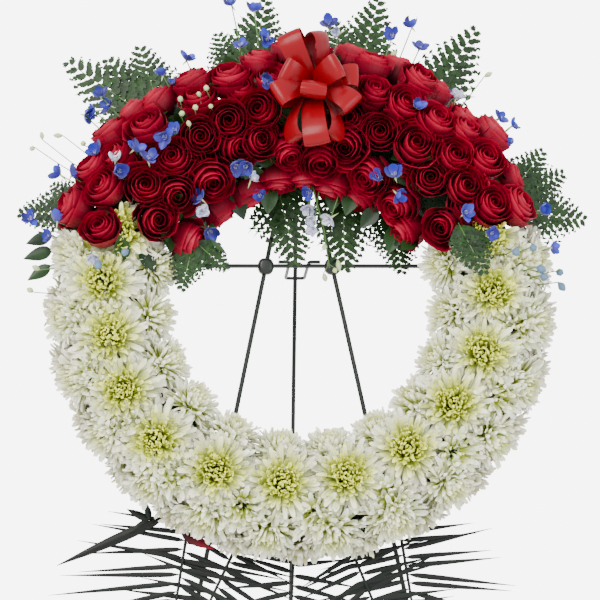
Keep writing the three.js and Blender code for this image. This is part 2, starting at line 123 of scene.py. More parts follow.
# The floor: a sheet of matt white paper, six metres square.
PAPER_HALF = 3.0

paper, _, _ = material("matt_white_paper", Base_Color=linear("#f7f7f5"), Roughness=0.9)
floor_mesh = bpy.data.meshes.new("paper_floor")
ways = ((-1, -1), (1, -1), (1, 1), (-1, 1))
floor_corners = [(x * PAPER_HALF, y * PAPER_HALF, 0) for x, y in ways]
floor_mesh.from_pydata(floor_corners, [], [(0, 1, 2, 3)])
floor_mesh.materials.append(paper)
paper_floor = bpy.data.objects.new("paper_floor", floor_mesh)
bpy.context.collection.objects.link(paper_floor)

# Light: one big soft box high on the left, a weaker one on the right, and a white studio all round,
# whose walls look brighter than the light that they give.
SOFT_BOX_SIZE = 1.6
SOFT_BOXES = [
    ("soft_box_left", (-1.5, -2.4, 2.9), 125, "#fffaf4"),
    ("soft_box_right", (2.0, -2.2, 1.9), 45, "#f6f9ff"),
]
STUDIO_GIVES, STUDIO_LOOKS = 1.9, 7.0

for name, place, watts, colour in SOFT_BOXES:
    lamp_data = bpy.data.lights.new(name, "AREA")
    lamp_data.size, lamp_data.energy, lamp_data.color = SOFT_BOX_SIZE, watts, linear(colour)[:3]
    lamp = bpy.data.objects.new(name, lamp_data)
    lamp.location = place
    toward = aim - np.array(place)
    down = math.acos(-toward[2] / np.linalg.norm(toward))
    lamp.rotation_euler = (down, 0, math.atan2(toward[1], toward[0]) - math.pi / 2)
    bpy.context.collection.objects.link(lamp)
world = bpy.data.worlds.new("white_studio")
world.use_nodes = True
studio = world.node_tree
light_path = node(studio, "ShaderNodeLightPath")
lit, seen = (
    node(studio, "ShaderNodeBackground", {"Color": linear("#ffffff"), "Strength": strength})
    for strength in (STUDIO_GIVES, STUDIO_LOOKS)
)
walls = node(
    studio,
    "ShaderNodeMixShader",
    {0: light_path.outputs["Is Camera Ray"], 1: lit.outputs[0], 2: seen.outputs[0]},
)
studio.links.new(walls.outputs[0], studio.nodes["World Output"].inputs["Surface"])
bpy.context.scene.world = world

# ---- Easel ----
# Round mild-steel wire, bent, clipped and dipped in dark green enamel. It levels into a semi-gloss
# film with a faint orange peel, thin and brownish where the wire is handled.
ENAMEL = dict(green="#07120d", worn="#15160f", peel_mm=1.6, patch_mm=35)
WIRES = [
    "front_left_leg", "front_right_leg", "back_leg", "crossbar", "leg_stop_loop", "head_bracket",
]


def grained(tree, shader, per_metre, detail, strength, height):
    """Raises a fine grain on a surface: noise in the object's coordinates, with so many cells to the
    metre and so many octaves, as a bump of the given strength and height."""
    place = node(tree, "ShaderNodeTexCoord").outputs["Object"]
    cells = node(
        tree, "ShaderNodeTexNoise", {"Scale": per_metre, "Detail": detail, "Vector": place}
    ).outputs["Fac"]
    bump = node(
        tree, "ShaderNodeBump", {"Strength": strength, "Distance": height, "Height": cells}
    )
    tree.links.new(bump.outputs["Normal"], shader.inputs["Normal"])


def patched(tree, shader, colours, per_metre, detail, edges=(0, 1, 1)):
    """Colours a surface in soft patches of two colours. The share of the second colour is noise in
    the object's coordinates, spread between two edges to nought and the most that it reaches."""
    place = node(tree, "ShaderNodeTexCoord").outputs["Object"]
    noise = node(tree, "ShaderNodeTexNoise", {"Scale": per_metre, "Detail": detail, "Vector": place})
    low, high, most = edges
    share = node(
        tree,
        "ShaderNodeMapRange",
        {"From Min": low, "From Max": high, "To Max": most, "Value": noise.outputs["Fac"]},
    )
    first, second = (linear(colour) for colour in colours)
    colour = node(
        tree,
        "ShaderNodeMix",
        {"A": first, "B": second, "Factor": share.outputs["Result"]},
        data_type="RGBA",
    )
    tree.links.new(colour.outputs["Result"], shader.inputs["Base Color"])


def finish_node(name, finish):
    """Gives a node of the frame a material in place of its own."""
    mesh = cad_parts[name].data
    mesh.materials.clear()
    mesh.materials.append(finish)


enamel, tree, shader = material(
    "dark_green_enamel_on_steel", Roughness=0.4, Specular_IOR_Level=0.35, Coat_Weight=0.1
)
thin_film = (ENAMEL["green"], ENAMEL["worn"])
patched(tree, shader, thin_film, 1000 / ENAMEL["patch_mm"], 5, (0.56, 0.72, 0.7))
grained(tree, shader, 1000 / ENAMEL["peel_mm"], 2, 0.25, 0.0003)
for name in WIRES:
    finish_node(name, enamel)

# Two clips pressed from steel strip hold the crossbar to the front legs, enamelled with the wire.
CLIP = dict(across=0.0115, high=0.0120, deep=0.0085, rounds=24, rows=13)


def build_piece(name, vertices, faces, finish, values=None, sharp_rim=None):
    """Makes a mesh object at the origin from arrays: vertices (n x 3), quads or triangles (m x 4 or
    3), and four numbers per vertex for its material. Edges with both ends on a rim are sharp."""
    mesh = bpy.data.meshes.new(name)
    mesh.vertices.add(len(vertices))
    mesh.vertices.foreach_set("co", np.ascontiguousarray(vertices, np.float32).ravel())
    sides = faces.shape[1]
    mesh.loops.add(faces.size)
    mesh.loops.foreach_set("vertex_index", np.ascontiguousarray(faces, np.int32).ravel())
    mesh.polygons.add(len(faces))
    mesh.polygons.foreach_set("loop_start", np.arange(0, faces.size, sides, dtype=np.int32))
    mesh.update(calc_edges=True)
    if values is not None:
        store = mesh.attributes.new("petal", "FLOAT_COLOR", "POINT")
        store.data.foreach_set("color", np.ascontiguousarray(values, np.float32).ravel())
    mesh.polygons.foreach_set("use_smooth", [True] * len(faces))
    if sharp_rim is not None:
        ends = np.empty(len(mesh.edges) * 2, np.int32)
        mesh.edges.foreach_get("vertices", ends)
        sharp = mesh.attributes.new("sharp_edge", "BOOLEAN", "EDGE")
        sharp.data.foreach_set("value", sharp_rim[ends.reshape(-1, 2)].all(axis=1))
    mesh.materials.append(finish)
    made = bpy.data.objects.new(name, mesh)
    bpy.context.collection.objects.link(made)
    return made


def pressed_clip(middle, across, high, deep, rounds, rows):
    """A clip as a closed round body about its middle, in the leaning plane. Its outline is |cos|^0.8
    by |sin|^0.8 of the turn; going back, it shrinks with the root of the cosine of the rise, and its
    depth is |sin|^0.6 of the rise."""
    a = np.linspace(0, math.tau, rounds, endpoint=False)[None, :]
    b = np.linspace(-np.pi / 2, np.pi / 2, rows + 2)[1:-1, None]
    ring = np.cos(b) ** 0.5
    x = across * ring * np.sign(np.cos(a)) * np.abs(np.cos(a)) ** 0.8
    z = high * ring * np.sign(np.sin(a)) * np.abs(np.sin(a)) ** 0.8
    y = deep * np.sign(np.sin(b)) * np.abs(np.sin(b)) ** 0.6 + 0 * a
    poles = [[0, -deep, 0], [0, deep, 0]]
    shell = np.concatenate([np.stack([x, y, z], axis=-1).reshape(-1, 3), poles])
    row, k = [g.ravel() for g in np.meshgrid(np.arange(rows - 1), np.arange(rounds), indexing="ij")]
    here, after = row * rounds + k, row * rounds + (k + 1) % rounds
    above, above_after = here + rounds, after + rounds
    k, there = np.arange(rounds), (np.arange(rounds) + 1) % rounds
    top = (rows - 1) * rounds
    faces = np.concatenate(
        [
            np.stack([here, after, above_after], axis=1),
            np.stack([here, above_after, above], axis=1),
            np.stack([np.full(rounds, rows * rounds), there, k], axis=1),
            np.stack([np.full(rounds, rows * rounds + 1), top + k, top + there], axis=1),
        ]
    )
    return lean_back(shell) + middle, faces[:, ::-1]


for name in ("left_leg_clip", "right_leg_clip"):
    corners = np.array([vertex.co[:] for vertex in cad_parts[name].data.vertices])
    clip_vertices, clip_faces = pressed_clip((corners.min(0) + corners.max(0)) / 2, **CLIP)
    clip = build_piece(name + "_body", clip_vertices, clip_faces, enamel)
    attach(clip, "wreath_and_frame")
    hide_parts(name)

# The hinge pin is zinc-plated steel: pale grey metal with a soft shine, mottled about every 1.1 mm.
zinc, tree, shader = material("zinc_plated_steel", Base_Color=linear("#8b8f8e"), Metallic=1.0)
place = node(tree, "ShaderNodeTexCoord").outputs["Object"]
mottle = node(tree, "ShaderNodeTexNoise", {"Scale": 900, "Detail": 4, "Vector": place})
dull = node(
    tree, "ShaderNodeMapRange", {"To Min": 0.3, "To Max": 0.55, "Value": mottle.outputs["Fac"]}
)
tree.links.new(dull.outputs["Result"], shader.inputs["Roughness"])
finish_node("hinge_pin", zinc)

# The feet are moulded rubber caps pushed over the wire: black, matt, with specks of dust 4 mm apart.
rubber, tree, shader = material("moulded_black_rubber", Roughness=0.75)
patched(tree, shader, ("#161817", "#3a3935"), 260, 6)
for name in ("front_left_foot", "front_right_foot", "back_foot"):
    finish_node(name, rubber)

# ---- Foam ring and tray ----
# Green phenolic foam soaked in water, dark and matt with open cells about half a millimetre wide,
# drawn here at 2 mm so that they show. It is glued in a tray of moulded green polypropylene.
foam_finish, tree, shader = material("wet_phenolic_foam", Roughness=0.95)
place = node(tree, "ShaderNodeTexCoord").outputs["Object"]
cells = node(tree, "ShaderNodeTexVoronoi", {"Scale": 500, "Vector": place}).outputs["Distance"]
soaked = node(
    tree,
    "ShaderNodeMix",
    {"A": linear("#0e1f12"), "B": linear("#2c4a2c"), "Factor": cells},
    data_type="RGBA",
)
pits = node(tree, "ShaderNodeBump", {"Strength": 0.8, "Distance": 0.001, "Height": cells})
tree.links.new(soaked.outputs["Result"], shader.inputs["Base Color"])
tree.links.new(pits.outputs["Normal"], shader.inputs["Normal"])
finish_node("foam_ring", foam_finish)

# The tray's plastic has flow marks about 110 mm long and a moulded grain of 0.7 mm.
tray_finish, tree, shader = material("moulded_polypropylene", Roughness=0.42)
patched(tree, shader, ("#1f5535", "#2b6a43"), 9, 3)
grained(tree, shader, 1400, 3, 0.2, 0.0003)
finish_node("backing_tray", tray_finish)

# ---- Petals ----
# Every flower head and leaf is made of thin closed sheets, grown in a spiral and set round the ring.
# A vertex carries four numbers for its material.
RING_RADIUS = 0.264
GOLDEN_ANGLE = math.pi * (3 - math.sqrt(5))


def bed_place(radius, y, across, deep, round_deg, over_deg, raised=0.0):
    """A flower's base and the way it faces. The base lies on an ellipse round the foam's section,
    which is itself carried round the ring; the flower faces away from the section's middle."""
    a, o = np.radians(round_deg), np.radians(over_deg)
    out = np.array([np.cos(a), 0, np.sin(a)])
    facing = out * np.cos(o) + np.array([0, -np.sin(o), 0])
    base = out * (radius + across * np.cos(o)) + np.array([0, y - deep * np.sin(o), 0])
    return base + facing * raised, facing


def unit(vectors):
    """Vectors divided by their lengths, along the last axis."""
    return vectors / np.linalg.norm(vectors, axis=-1, keepdims=True)


def turn_to(facing, spin):
    """A turn matrix whose third column is the facing direction: a spin about z, then the shortest
    turn of z onto it."""
    z = unit(facing)
    x = unit(np.cross([0.31, -0.2, 0.93], z))
    y = np.cross(z, x)
    c, s = math.cos(spin), math.sin(spin)
    return np.stack([x * c + y * s, y * c - x * s, z], axis=1)


def set_head(sheets, base, facing, seed, size):
    """Turns a head's petals to where it stands in the leaning plane, with a spin of its own."""
    spin = np.random.default_rng(seed + 7).random() * math.tau
    return sheets * size @ turn_to(facing, spin).T + base


def close_petals(sheets, thick):
    """Closes thin sheets into petals. sheets holds petals x along x across x 3. A petal's underside
    lies its thickness behind the sheet, along the sheet's normal, and meets it at the rim. Returns
    vertices per petal, and the quads of one petal."""
    _, along, across, _ = sheets.shape
    normal = np.cross(np.gradient(sheets, axis=1), np.gradient(sheets, axis=2))
    normal = normal / np.maximum(np.linalg.norm(normal, axis=-1, keepdims=True), 1e-12)
    inside = (sheets - normal * thick)[:, 1:-1, 1:-1]
    both = [sheets.reshape(len(sheets), -1, 3), inside.reshape(len(sheets), -1, 3)]
    upper = np.arange(along * across).reshape(along, across)
    lower = upper.copy()
    inner = along * across + np.arange((along - 2) * (across - 2))
    lower[1:-1, 1:-1] = inner.reshape(along - 2, across - 2)

    def quads(grid):
        corners = [grid[:-1, :-1], grid[1:, :-1], grid[1:, 1:], grid[:-1, 1:]]
        return np.stack(corners, axis=-1).reshape(-1, 4)

    return np.concatenate(both, axis=1), np.concatenate([quads(upper), quads(lower)[:, ::-1]])


def petal_grid(along, across):
    """How far along a petal, from 0 to 1, and across it, from -1 to 1, its grid's points lie."""
    return np.linspace(0, 1, along)[None, :, None], np.linspace(-1, 1, across)[None, None, :]


def petal_values(along, across, ring, tone):
    """The petals' own numbers for their material, in the order of close_petals' vertices: how far
    along and across the petal, how far out in the flower, and a tone of each petal's own."""
    grid = np.stack(np.broadcast_arrays(along, across, ring, tone), axis=-1)
    flat = grid.reshape(len(grid), -1, 4)
    return np.concatenate([flat, grid[:, 1:-1, 1:-1].reshape(len(grid), -1, 4)], axis=1)


def flower_piece(name, heads, finish):
    """Joins several heads, each (sheets, thickness, values), into one piece in its place."""
    vertices, faces, values, rims, start = [], [], [], [], 0
    for sheets, thick, numbers in heads:
        points, quads = close_petals(sheets, thick)
        petals, per_petal = points.shape[:2]
        along, across = sheets.shape[1:3]
        rim = np.ones((along, across), bool)
        rim[1:-1, 1:-1] = False
        rim = np.concatenate([rim.ravel(), np.zeros((along - 2) * (across - 2), bool)])
        vertices.append(points.reshape(-1, 3))
        steps = start + per_petal * np.arange(petals)
        faces.append((quads + steps[:, None, None]).reshape(-1, 4))
        values.append(numbers.reshape(-1, 4))
        rims.append(np.tile(rim, petals))
        start += petals * per_petal
    vertices, faces, values, rims = map(np.concatenate, (vertices, faces, values, rims))
    return build_piece(name, in_place(vertices), faces, finish, values, rims)


def petal_numbers(tree):
    """Reads a vertex's four numbers in a material: along, across, ring and tone."""
    own = node(tree, "ShaderNodeAttribute", attribute_name="petal")
    parts = node(tree, "ShaderNodeSeparateColor", {"Color": own.outputs["Color"]})
    return (*parts.outputs, own.outputs["Alpha"])


def ribbed(tree, shader, across, ribs, strength, height):
    """Raises ribs along a petal or ribbon, as a bump: the sine of so many radians times how far
    across it a point lies."""
    angle = node(tree, "ShaderNodeMath", {0: across, 1: ribs}, operation="MULTIPLY")
    wave = node(tree, "ShaderNodeMath", {0: angle.outputs[0]}, operation="SINE").outputs[0]
    bump = node(tree, "ShaderNodeBump", {"Strength": strength, "Distance": height, "Height": wave})
    tree.links.new(bump.outputs["Normal"], shader.inputs["Normal"])


# ---- Roses ----
# Red garden-cut roses, half open: petals wound in a spiral round a tight heart, each one rolling out
# at its rim as it opens. They are wired in bunches over the top of the ring.
ROSE_BED = dict(radius=RING_RADIUS, y=FOAM_MIDDLE_Y, across=0.055, deep=0.048)
ROSE = dict(petals=16, thick=0.0006, along=7, across=8)
ROSE_SIZE, SIZE_SPREAD, LEAN_SPREAD = 1.06, 0.05, 0.16
# Each rose: degrees round the ring, degrees over its section, millimetres raised.
ROSE_BUNCHES = {
    "roses_01": [(23, 48), (32, 12), (26, 74), (37, 46), (35, 89)],
    "roses_02": [(28, 125), (35, 168), (43, 110), (45, 152)],
    "roses_03": [(42, 12, 12), (46, 44), (49, 24, 6), (43, 74), (53, 64)],
    "roses_04": [(54, 98), (65, 100), (60, 142), (60, 186)],
    "roses_05": [(58, 18, 10), (63, 28, 18), (68, 12, 14), (63, 58)],
    "roses_06": [(71, 62), (73, 30, 14), (79, 14, 14), (86, 16, 14)],
    "roses_07": [(74, 120), (82, 140), (76, 172), (89, 165)],
    "roses_08": [(96, 130), (107, 124), (99, 174)],
    "roses_09": [(94, 14, 14), (100, 32, 6), (108, 42), (101, 88)],
    "roses_10": [(116, 30, 4), (118, 56), (125, 24, 4), (112, 88), (122, 86)],
    "roses_11": [(115, 184), (131, 184), (126, 132), (140, 122)],
    "roses_12": [(131, 14, 8), (133, 48), (139, 12, 10), (142, 50)],
    "roses_13": [(133, 98), (146, 90), (152, 118), (152, 164)],
    "roses_14": [(148, 26, 4), (151, 58), (157, 26), (163, 70)],
}
# Roses set deep, so that only their rims show between the others.
LOW_ROSES = [
    (98, 60, -4), (106, 62, -6), (100, 108, -14), (75, 98, -12), (71, 84, -16), (114, 112, -14),
    (85, 155, -14), (127, 108, -16), (137, 74, -14), (55, 80, -16), (40, 64, -16), (49, 128, -16),
    (29, 100, -14),
]


def cubic(s, first, second, third, last):
    """The cubic curve through its first and last value, drawn towards the two between, at s."""
    p = 1 - s
    return p**3 * first + 3 * p**2 * s * second + 3 * p * s**2 * third + s**3 * last


def rose_petals(seed, petals, thick, along, across):
    """Petals of one rose, its base at the origin and its face to +z. Petal k stands at k golden
    angles, a share t = k / (petals - 1) out, and covers less of the turn the further out it is. In
    profile it is a cubic curve through four points: the base, a belly wider than the rim, a
    shoulder, and the rim, which leans in at the heart and flares outside. Beyond three quarters of
    its height the rim rolls over, more at the sides than at the tip, and it waves a little."""
    rng = np.random.default_rng(seed)
    k = np.arange(petals)
    t = (k / (petals - 1))[:, None, None]
    turn = (k * GOLDEN_ANGLE + rng.normal(0, 0.12, petals))[:, None, None]
    v, u = petal_grid(along, across)
    loose = rng.normal(0, 1, (3, petals))[:, :, None, None]
    radius = (0.0022 + 0.0230 * t**0.85) * (1 + 0.04 * loose[0])
    high = 0.0390 + 0.0085 * np.sin(np.pi * t**0.8) - 0.0030 * t + 0.0010 * loose[1]
    flare = -0.30 + 0.42 * t
    e = v * (1 - 0.16 * np.abs(u) ** 3)
    r = cubic(e, 0.25 * radius + 0.001, 1.18 * radius + 0.002, 1.12 * radius, (1 + flare) * radius)
    z = cubic(e, 0.004 + 0.005 * (1 - t), 0.25 * high, 0.85 * high, high)
    roll = np.clip((e - 0.72) / 0.28, 0, 1) * t**1.1 * (0.55 + 0.6 * u**2)
    wave = np.sin(2.2 * np.pi * u + 6 * loose[0]) * e**2
    r = (r + (0.0050 + 0.0015 * loose[2]) * roll) * (1 + 0.05 * wave)
    z = z - 0.0042 * roll**2 + 0.0011 * wave * (1 - roll)
    wind = np.where(u > 0, 0.10, 0.07) + 0.2 * (1 - t) ** 2
    r = r * (1 + wind * u)
    half = np.radians(122 - 56 * t) * (0.30 + 0.70 * np.sin(np.pi / 2 * np.minimum(1, v / 0.55)))
    a = turn + half * u
    sheets = np.stack([r * np.cos(a), r * np.sin(a), z], axis=-1)
    tone = rng.random(petals)[:, None, None]
    return sheets, thick, petal_values(v, u, t, tone)


def rose_finish():
    """Velvety crimson flesh: a dark base, which is painted shade deep in the flower, a brighter rim,
    which is a painted highlight where the rims catch the light, fine veins and a soft sheen.
    """
    made, tree, shader = material(
        "rose_petal", Roughness=0.5, Sheen_Weight=0.03, Specular_IOR_Level=0.2
    )
    shader.inputs["Sheen Tint"].default_value = linear("#ff6a80")
    along, across, _, tone = petal_numbers(tree)
    # Painted shade darkens a petal towards its foot, deep in the flower; a painted highlight
    # brightens its rim. The tone is each petal's own.
    foot_shade_share = {"From Min": 0.1, "From Max": 0.75, "Value": along}
    rim_highlight_share = {"From Min": 0.8, "From Max": 1.0, "Value": along}
    shade_share = {"To Min": 0.72, "To Max": 1.0, "Value": tone}
    out_of_foot_shade, rim, shade = (
        node(tree, "ShaderNodeMapRange", share).outputs["Result"]
        for share in (foot_shade_share, rim_highlight_share, shade_share)
    )
    # From painted shade at the petal's foot to its crimson.
    crimson_with_foot_shade = node(
        tree,
        "ShaderNodeMix",
        {"A": linear("#24000a"), "B": linear("#7c0020"), "Factor": out_of_foot_shade},
        data_type="RGBA",
    )
    # A painted highlight at the rim.
    rim_highlighted = node(
        tree,
        "ShaderNodeMix",
        {"A": crimson_with_foot_shade.outputs["Result"], "B": linear("#a8002c"), "Factor": rim},
        data_type="RGBA",
    )
    toned = node(
        tree,
        "ShaderNodeMix",
        {"Factor": 1.0, "A": rim_highlighted.outputs["Result"], "B": shade},
        data_type="RGBA",
        blend_type="MULTIPLY",
    )
    tree.links.new(toned.outputs["Result"], shader.inputs["Base Color"])
    ribbed(tree, shader, across, 40.0, 0.2, 0.0003)
    return made


ROSE_HEART = 0.024  # how far the middle of a head lies in front of its base
rose_petal = rose_finish()
rose_bases, rose_middles = [], []
rose_lean = np.random.default_rng(12)
for number, (name, bunch) in enumerate([*ROSE_BUNCHES.items(), ("low_roses", LOW_ROSES)], 1):
    heads = []
    for i, (round_deg, over, *raised) in enumerate(bunch):
        seed = 1000 + 10 * number + i
        base, facing = bed_place(
            **ROSE_BED, round_deg=round_deg, over_deg=over, raised=sum(raised) / 1000
        )
        sheets, thick, values = rose_petals(seed, **ROSE)
        facing = facing + LEAN_SPREAD * rose_lean.normal(0, 1, 3)
        size = ROSE_SIZE + SIZE_SPREAD * rose_lean.normal()
        heads.append((set_head(sheets, base, facing, seed, size), thick, values))
        rose_bases.append((base, facing))
        rose_middles.append(base + ROSE_HEART * facing)
    roses = flower_piece(name + "_petals", heads, rose_petal)
    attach(roses, "wreath_and_frame")
    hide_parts(*(ROSE_BUNCHES if name == "low_roses" else [name]))

# ---- Chrysanthemums ----
# Big incurved florists' chrysanthemums. A head on the ring's face is nearly four hundred strap
# petals in a spiral: short, curled and lime green at the heart, long, arching and creamy white
# further out. The rows beside them, and the heads set low between them, have fewer petals.
FOAM_FRONT = -0.085
# Each head on the face: degrees round the ring, millimetres from its centre.
FACE_MUMS = [
    (19, 268), (2, 262), (-17, 258), (-36, 252), (-56, 252), (-77, 252), (-97, 256), (-117, 264),
    (-136, 276), (-153, 274), (-169, 268), (-185, 274), (-200, 266),
]
# Each row's last number is painted shade that greys its heads' tone, deepest for the row set back on
# the ring's outer side.
MUM_ROWS = {
    "outer_front_mums": dict(count=14, start=10, end=-192, over=34, size=1.0, painted_shade=0.15),
    "outer_back_mums": dict(count=15, start=12, end=-194, over=-14, size=1.0, painted_shade=0.75),
    "inner_mums": dict(count=12, start=15, end=-194, over=150, size=0.9, painted_shade=0.0),
}
MUM_BED = dict(radius=RING_RADIUS, y=-0.052, across=0.053, deep=0.039)
MUM = dict(petals=385, heart=120, radius=0.060, high=0.043, thick=0.0005)
SMALL_MUM = dict(petals=195, heart=40, radius=0.055, high=0.039, thick=0.0005)
LOW_MUM = dict(petals=70, heart=10, radius=0.048, high=0.036, thick=0.0005)
HEART_ANGLE, DOME_ANGLE = math.radians(36), math.radians(105)
STRAP_ALONG = np.array([0, 0.35, 0.66, 0.86, 0.96, 1])
STRAP_WIDE = np.array([0.35, 0.7, 0.95, 1.0, 0.78, 0.36])
EASEL_CLEAR_Y = 0.004  # no petal reaches further back than this
ROSE_CLEAR = 0.029  # nor nearer to the middle of a rose


def mum_petals(seed, petals, heart, radius, high, thick):
    """Strap petals of one head, its base at the origin and its face to +z. Petal k stands at k
    golden angles. Its tip lies on a dome, at an angle a from the axis: the heart's petals fill the
    heart's angle and the others share the dome evenly by area. The petal is a cubic curve from the
    receptacle to the tip, which points inward at the heart and outward, then down, beyond it.
    Across, it is hollowed by the square of the way out, and it twists a little towards its tip."""
    rng = np.random.default_rng(seed)
    k = np.arange(petals)
    heart_cap, full_cap = 1 - math.cos(HEART_ANGLE), 1 - math.cos(DOME_ANGLE)
    beyond = heart_cap + (full_cap - heart_cap) * (k - heart) / (petals - heart)
    cap = np.where(k < heart, heart_cap * k / heart, beyond)
    loose = rng.normal(0, 1, (5, petals))
    a = np.maximum(0.02, np.arccos(1 - cap) + 0.06 * loose[0])
    a_share = np.minimum(1.1, a / DOME_ANGLE)
    reach = (high - 0.010) + (radius - high + 0.010) * np.sin(np.minimum(a, np.pi / 2)) ** 2
    reach = reach * np.where(k < heart, 1 + 0.06 * loose[1], rng.uniform(0.70, 1.03, petals))
    base = np.stack([0.003 + 0.007 * np.sin(a), 0.004 + 0.006 * np.cos(a)], axis=1)
    tip = np.stack([reach * np.sin(a), 0.010 + reach * np.cos(a)], axis=1)
    handle = np.linalg.norm(tip - base, axis=1)[:, None] * np.where(k < heart, 0.28, 0.4)[:, None]
    first = 0.5 * a
    last = np.radians(-60 + 145 * a_share**0.9) + 0.45 * loose[2]
    leaving = base + handle * np.stack([np.sin(first), np.cos(first)], axis=1)
    arriving = tip - handle * np.stack([np.sin(last), np.cos(last)], axis=1)
    curve = cubic(STRAP_ALONG[:, None, None], base, leaving, arriving, tip)
    slope = unit(np.gradient(curve, axis=0))
    r, z = curve[..., 0].T[:, :, None], curve[..., 1].T[:, :, None]
    slope_r, slope_z = slope[..., 0].T[:, :, None], slope[..., 1].T[:, :, None]
    v = np.array([-1.0, 0.0, 1.0])[None, None, :]
    widest = 0.0017 + 0.0019 * np.minimum(1, a_share * 1.6)
    wide = widest[:, None, None] * STRAP_WIDE[None, :, None]
    twist = 0.5 * loose[3][:, None, None] * STRAP_ALONG[None, :, None]
    side = wide * v * np.cos(twist)
    lift = wide * (0.55 * v**2 + v * np.sin(twist))
    turn = (k * GOLDEN_ANGLE + 0.14 * loose[4])[:, None, None]
    r, z = r - lift * slope_z, z + lift * slope_r
    c, s = np.cos(turn), np.sin(turn)
    sheets = np.stack([r * c - side * s, r * s + side * c, z], axis=-1)
    tone = rng.random(petals)[:, None, None]
    return sheets, thick, petal_values(STRAP_ALONG[None, :, None], v, a_share[:, None, None], tone)


def mum_head(seed, base, facing, size, painted_shade, kind):
    """One head in its place. Petals that would reach back between the easel's legs, or into a rose,
    are left out. Its painted shade greys the head's tone, and a head beside the face has a whiter
    heart."""
    sheets, thick, values = mum_petals(seed, **kind)
    placed = set_head(sheets, base, facing, seed, size)
    # The head's own tone, lowered by its row's painted shade.
    values[..., 3] = 0.5 + 0.5 * values[..., 3] - painted_shade
    if kind is not MUM:
        values[..., 2] = 0.5 + 0.5 * values[..., 2]
    middle = placed[:, 1:, 1]
    to_roses = middle[:, :, None] - np.array(rose_middles)
    from_roses = np.linalg.norm(to_roses, axis=-1).min(axis=(1, 2))
    kept = (placed[..., 1].max(axis=(1, 2)) < EASEL_CLEAR_Y) & (from_roses > ROSE_CLEAR)
    return placed[kept], thick, values[kept]


def mum_finish():
    """Petal flesh: thin, slightly see-through and matt, with fine veins along its length. The white
    is warm and the heart lime; a petal is greener towards its foot. Its own tone, lowered by the
    painted shade of its row, greys it towards beige."""
    made, tree, shader = material(
        "chrysanthemum_petal",
        Roughness=0.6,
        Specular_IOR_Level=0.3,
        Subsurface_Weight=0.2,
        Subsurface_Scale=0.004,
        Subsurface_Radius=(1.0, 0.95, 0.6),
    )
    along, across, ring, tone = petal_numbers(tree)
    # The third share is a petal's own tone together with its row's painted shade.
    heart, ripe, tone_and_shade_share = (
        node(
            tree, "ShaderNodeMapRange", {"From Min": low, "From Max": high, "Value": value}
        ).outputs["Result"]
        for low, high, value in ((0.4, 0.72, ring), (0.3, 0.95, along), (-0.5, 0.6, tone))
    )
    # The third mix greys a petal by its own tone and by the painted shade of its row.
    lime, cream, tone_and_painted_shade = (
        node(
            tree,
            "ShaderNodeMix",
            {"A": linear(dark), "B": linear(light), "Factor": share},
            data_type="RGBA",
        ).outputs["Result"]
        for dark, light, share in (
            ("#93a800", "#f3f76a", ripe),
            ("#c6d350", "#fffff0", ripe),
            ("#b9b2a4", "#ffffff", tone_and_shade_share),
        )
    )
    body = node(tree, "ShaderNodeMix", {"Factor": heart, "A": lime, "B": cream}, data_type="RGBA")
    toned = node(
        tree,
        "ShaderNodeMix",
        {"Factor": 1.0, "A": body.outputs["Result"], "B": tone_and_painted_shade},
        data_type="RGBA",
        blend_type="MULTIPLY",
    )
    tree.links.new(toned.outputs["Result"], shader.inputs["Base Color"])
    ribbed(tree, shader, across, 14.0, 0.25, 0.0004)
    return made


FACE_BASE_Y = FOAM_FRONT - 0.003
TILT_PER_MM = 0.6  # degrees that a head on the face leans for each millimetre off the ring's middle
LOW_OUT, LOW_OVER = 0.028, 70
mum_petal = mum_finish()
for number, (round_deg, radius_mm) in enumerate(FACE_MUMS, 1):
    tilt = 90 - (radius_mm - RING_RADIUS * 1000) * TILT_PER_MM
    base, facing = bed_place(radius_mm / 1000, FACE_BASE_Y, 0, 0, round_deg, tilt)
    name = f"face_mum_{number:02d}"
    mum = flower_piece(
        name + "_petals", [mum_head(number, base, facing, 1.0, 0.0, MUM)], mum_petal
    )
    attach(mum, "wreath_and_frame")
    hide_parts(name)
low_heads = []
for i, (near, far) in enumerate(zip(FACE_MUMS[:-1], FACE_MUMS[1:])):
    between = (near[0] + far[0]) / 2
    base, facing = bed_place(RING_RADIUS + LOW_OUT, FACE_BASE_Y, 0, 0, between, LOW_OVER)
    low_heads.append(mum_head(60 + i, base, facing, 1.0, 0.0, LOW_MUM))
low_mums = flower_piece("low_mums_petals", low_heads, mum_petal)
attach(low_mums, "wreath_and_frame")
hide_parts(*MUM_ROWS)
for row_number, (name, row) in enumerate(MUM_ROWS.items(), 1):
    heads = []
    for i, round_deg in enumerate(np.linspace(row["start"], row["end"], row["count"])):
        base, facing = bed_place(**MUM_BED, round_deg=round_deg, over_deg=row["over"])
        seed = 100 * row_number + i
        heads.append(mum_head(seed, base, facing, row["size"], row["painted_shade"], SMALL_MUM))
    mums = flower_piece(name + "_petals", heads, mum_petal)
    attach(mums, "wreath_and_frame")
    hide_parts(name)

# ---- Bow ----
# Wired florists' ribbon of red acetate satin, 36 mm wide, gathered in eleven loops round a knot of
# twisted wire. The satin is glossy along its folds, where it shows pale.
KNOT = np.array([0.015, -0.135, 0.292])
RIBBON = dict(width=0.036, thick=0.0005, fat=0.42, along=41, across=9)
# Each loop's far end, across, forward and up in millimetres, and its turn in degrees.
BOW_LOOPS = [
    (-36, 22, 72, -20), (4, 30, 72, 55), (32, 56, 16, 0), (60, 32, 8, -20), (-44, 40, 14, -15),
    (-54, 46, -24, 10), (-4, 66, -24, 0), (52, 46, -38, -15), (-28, 32, -82, 66), (2, 44, -92, 15),
    (26, 36, -80, -60),
]


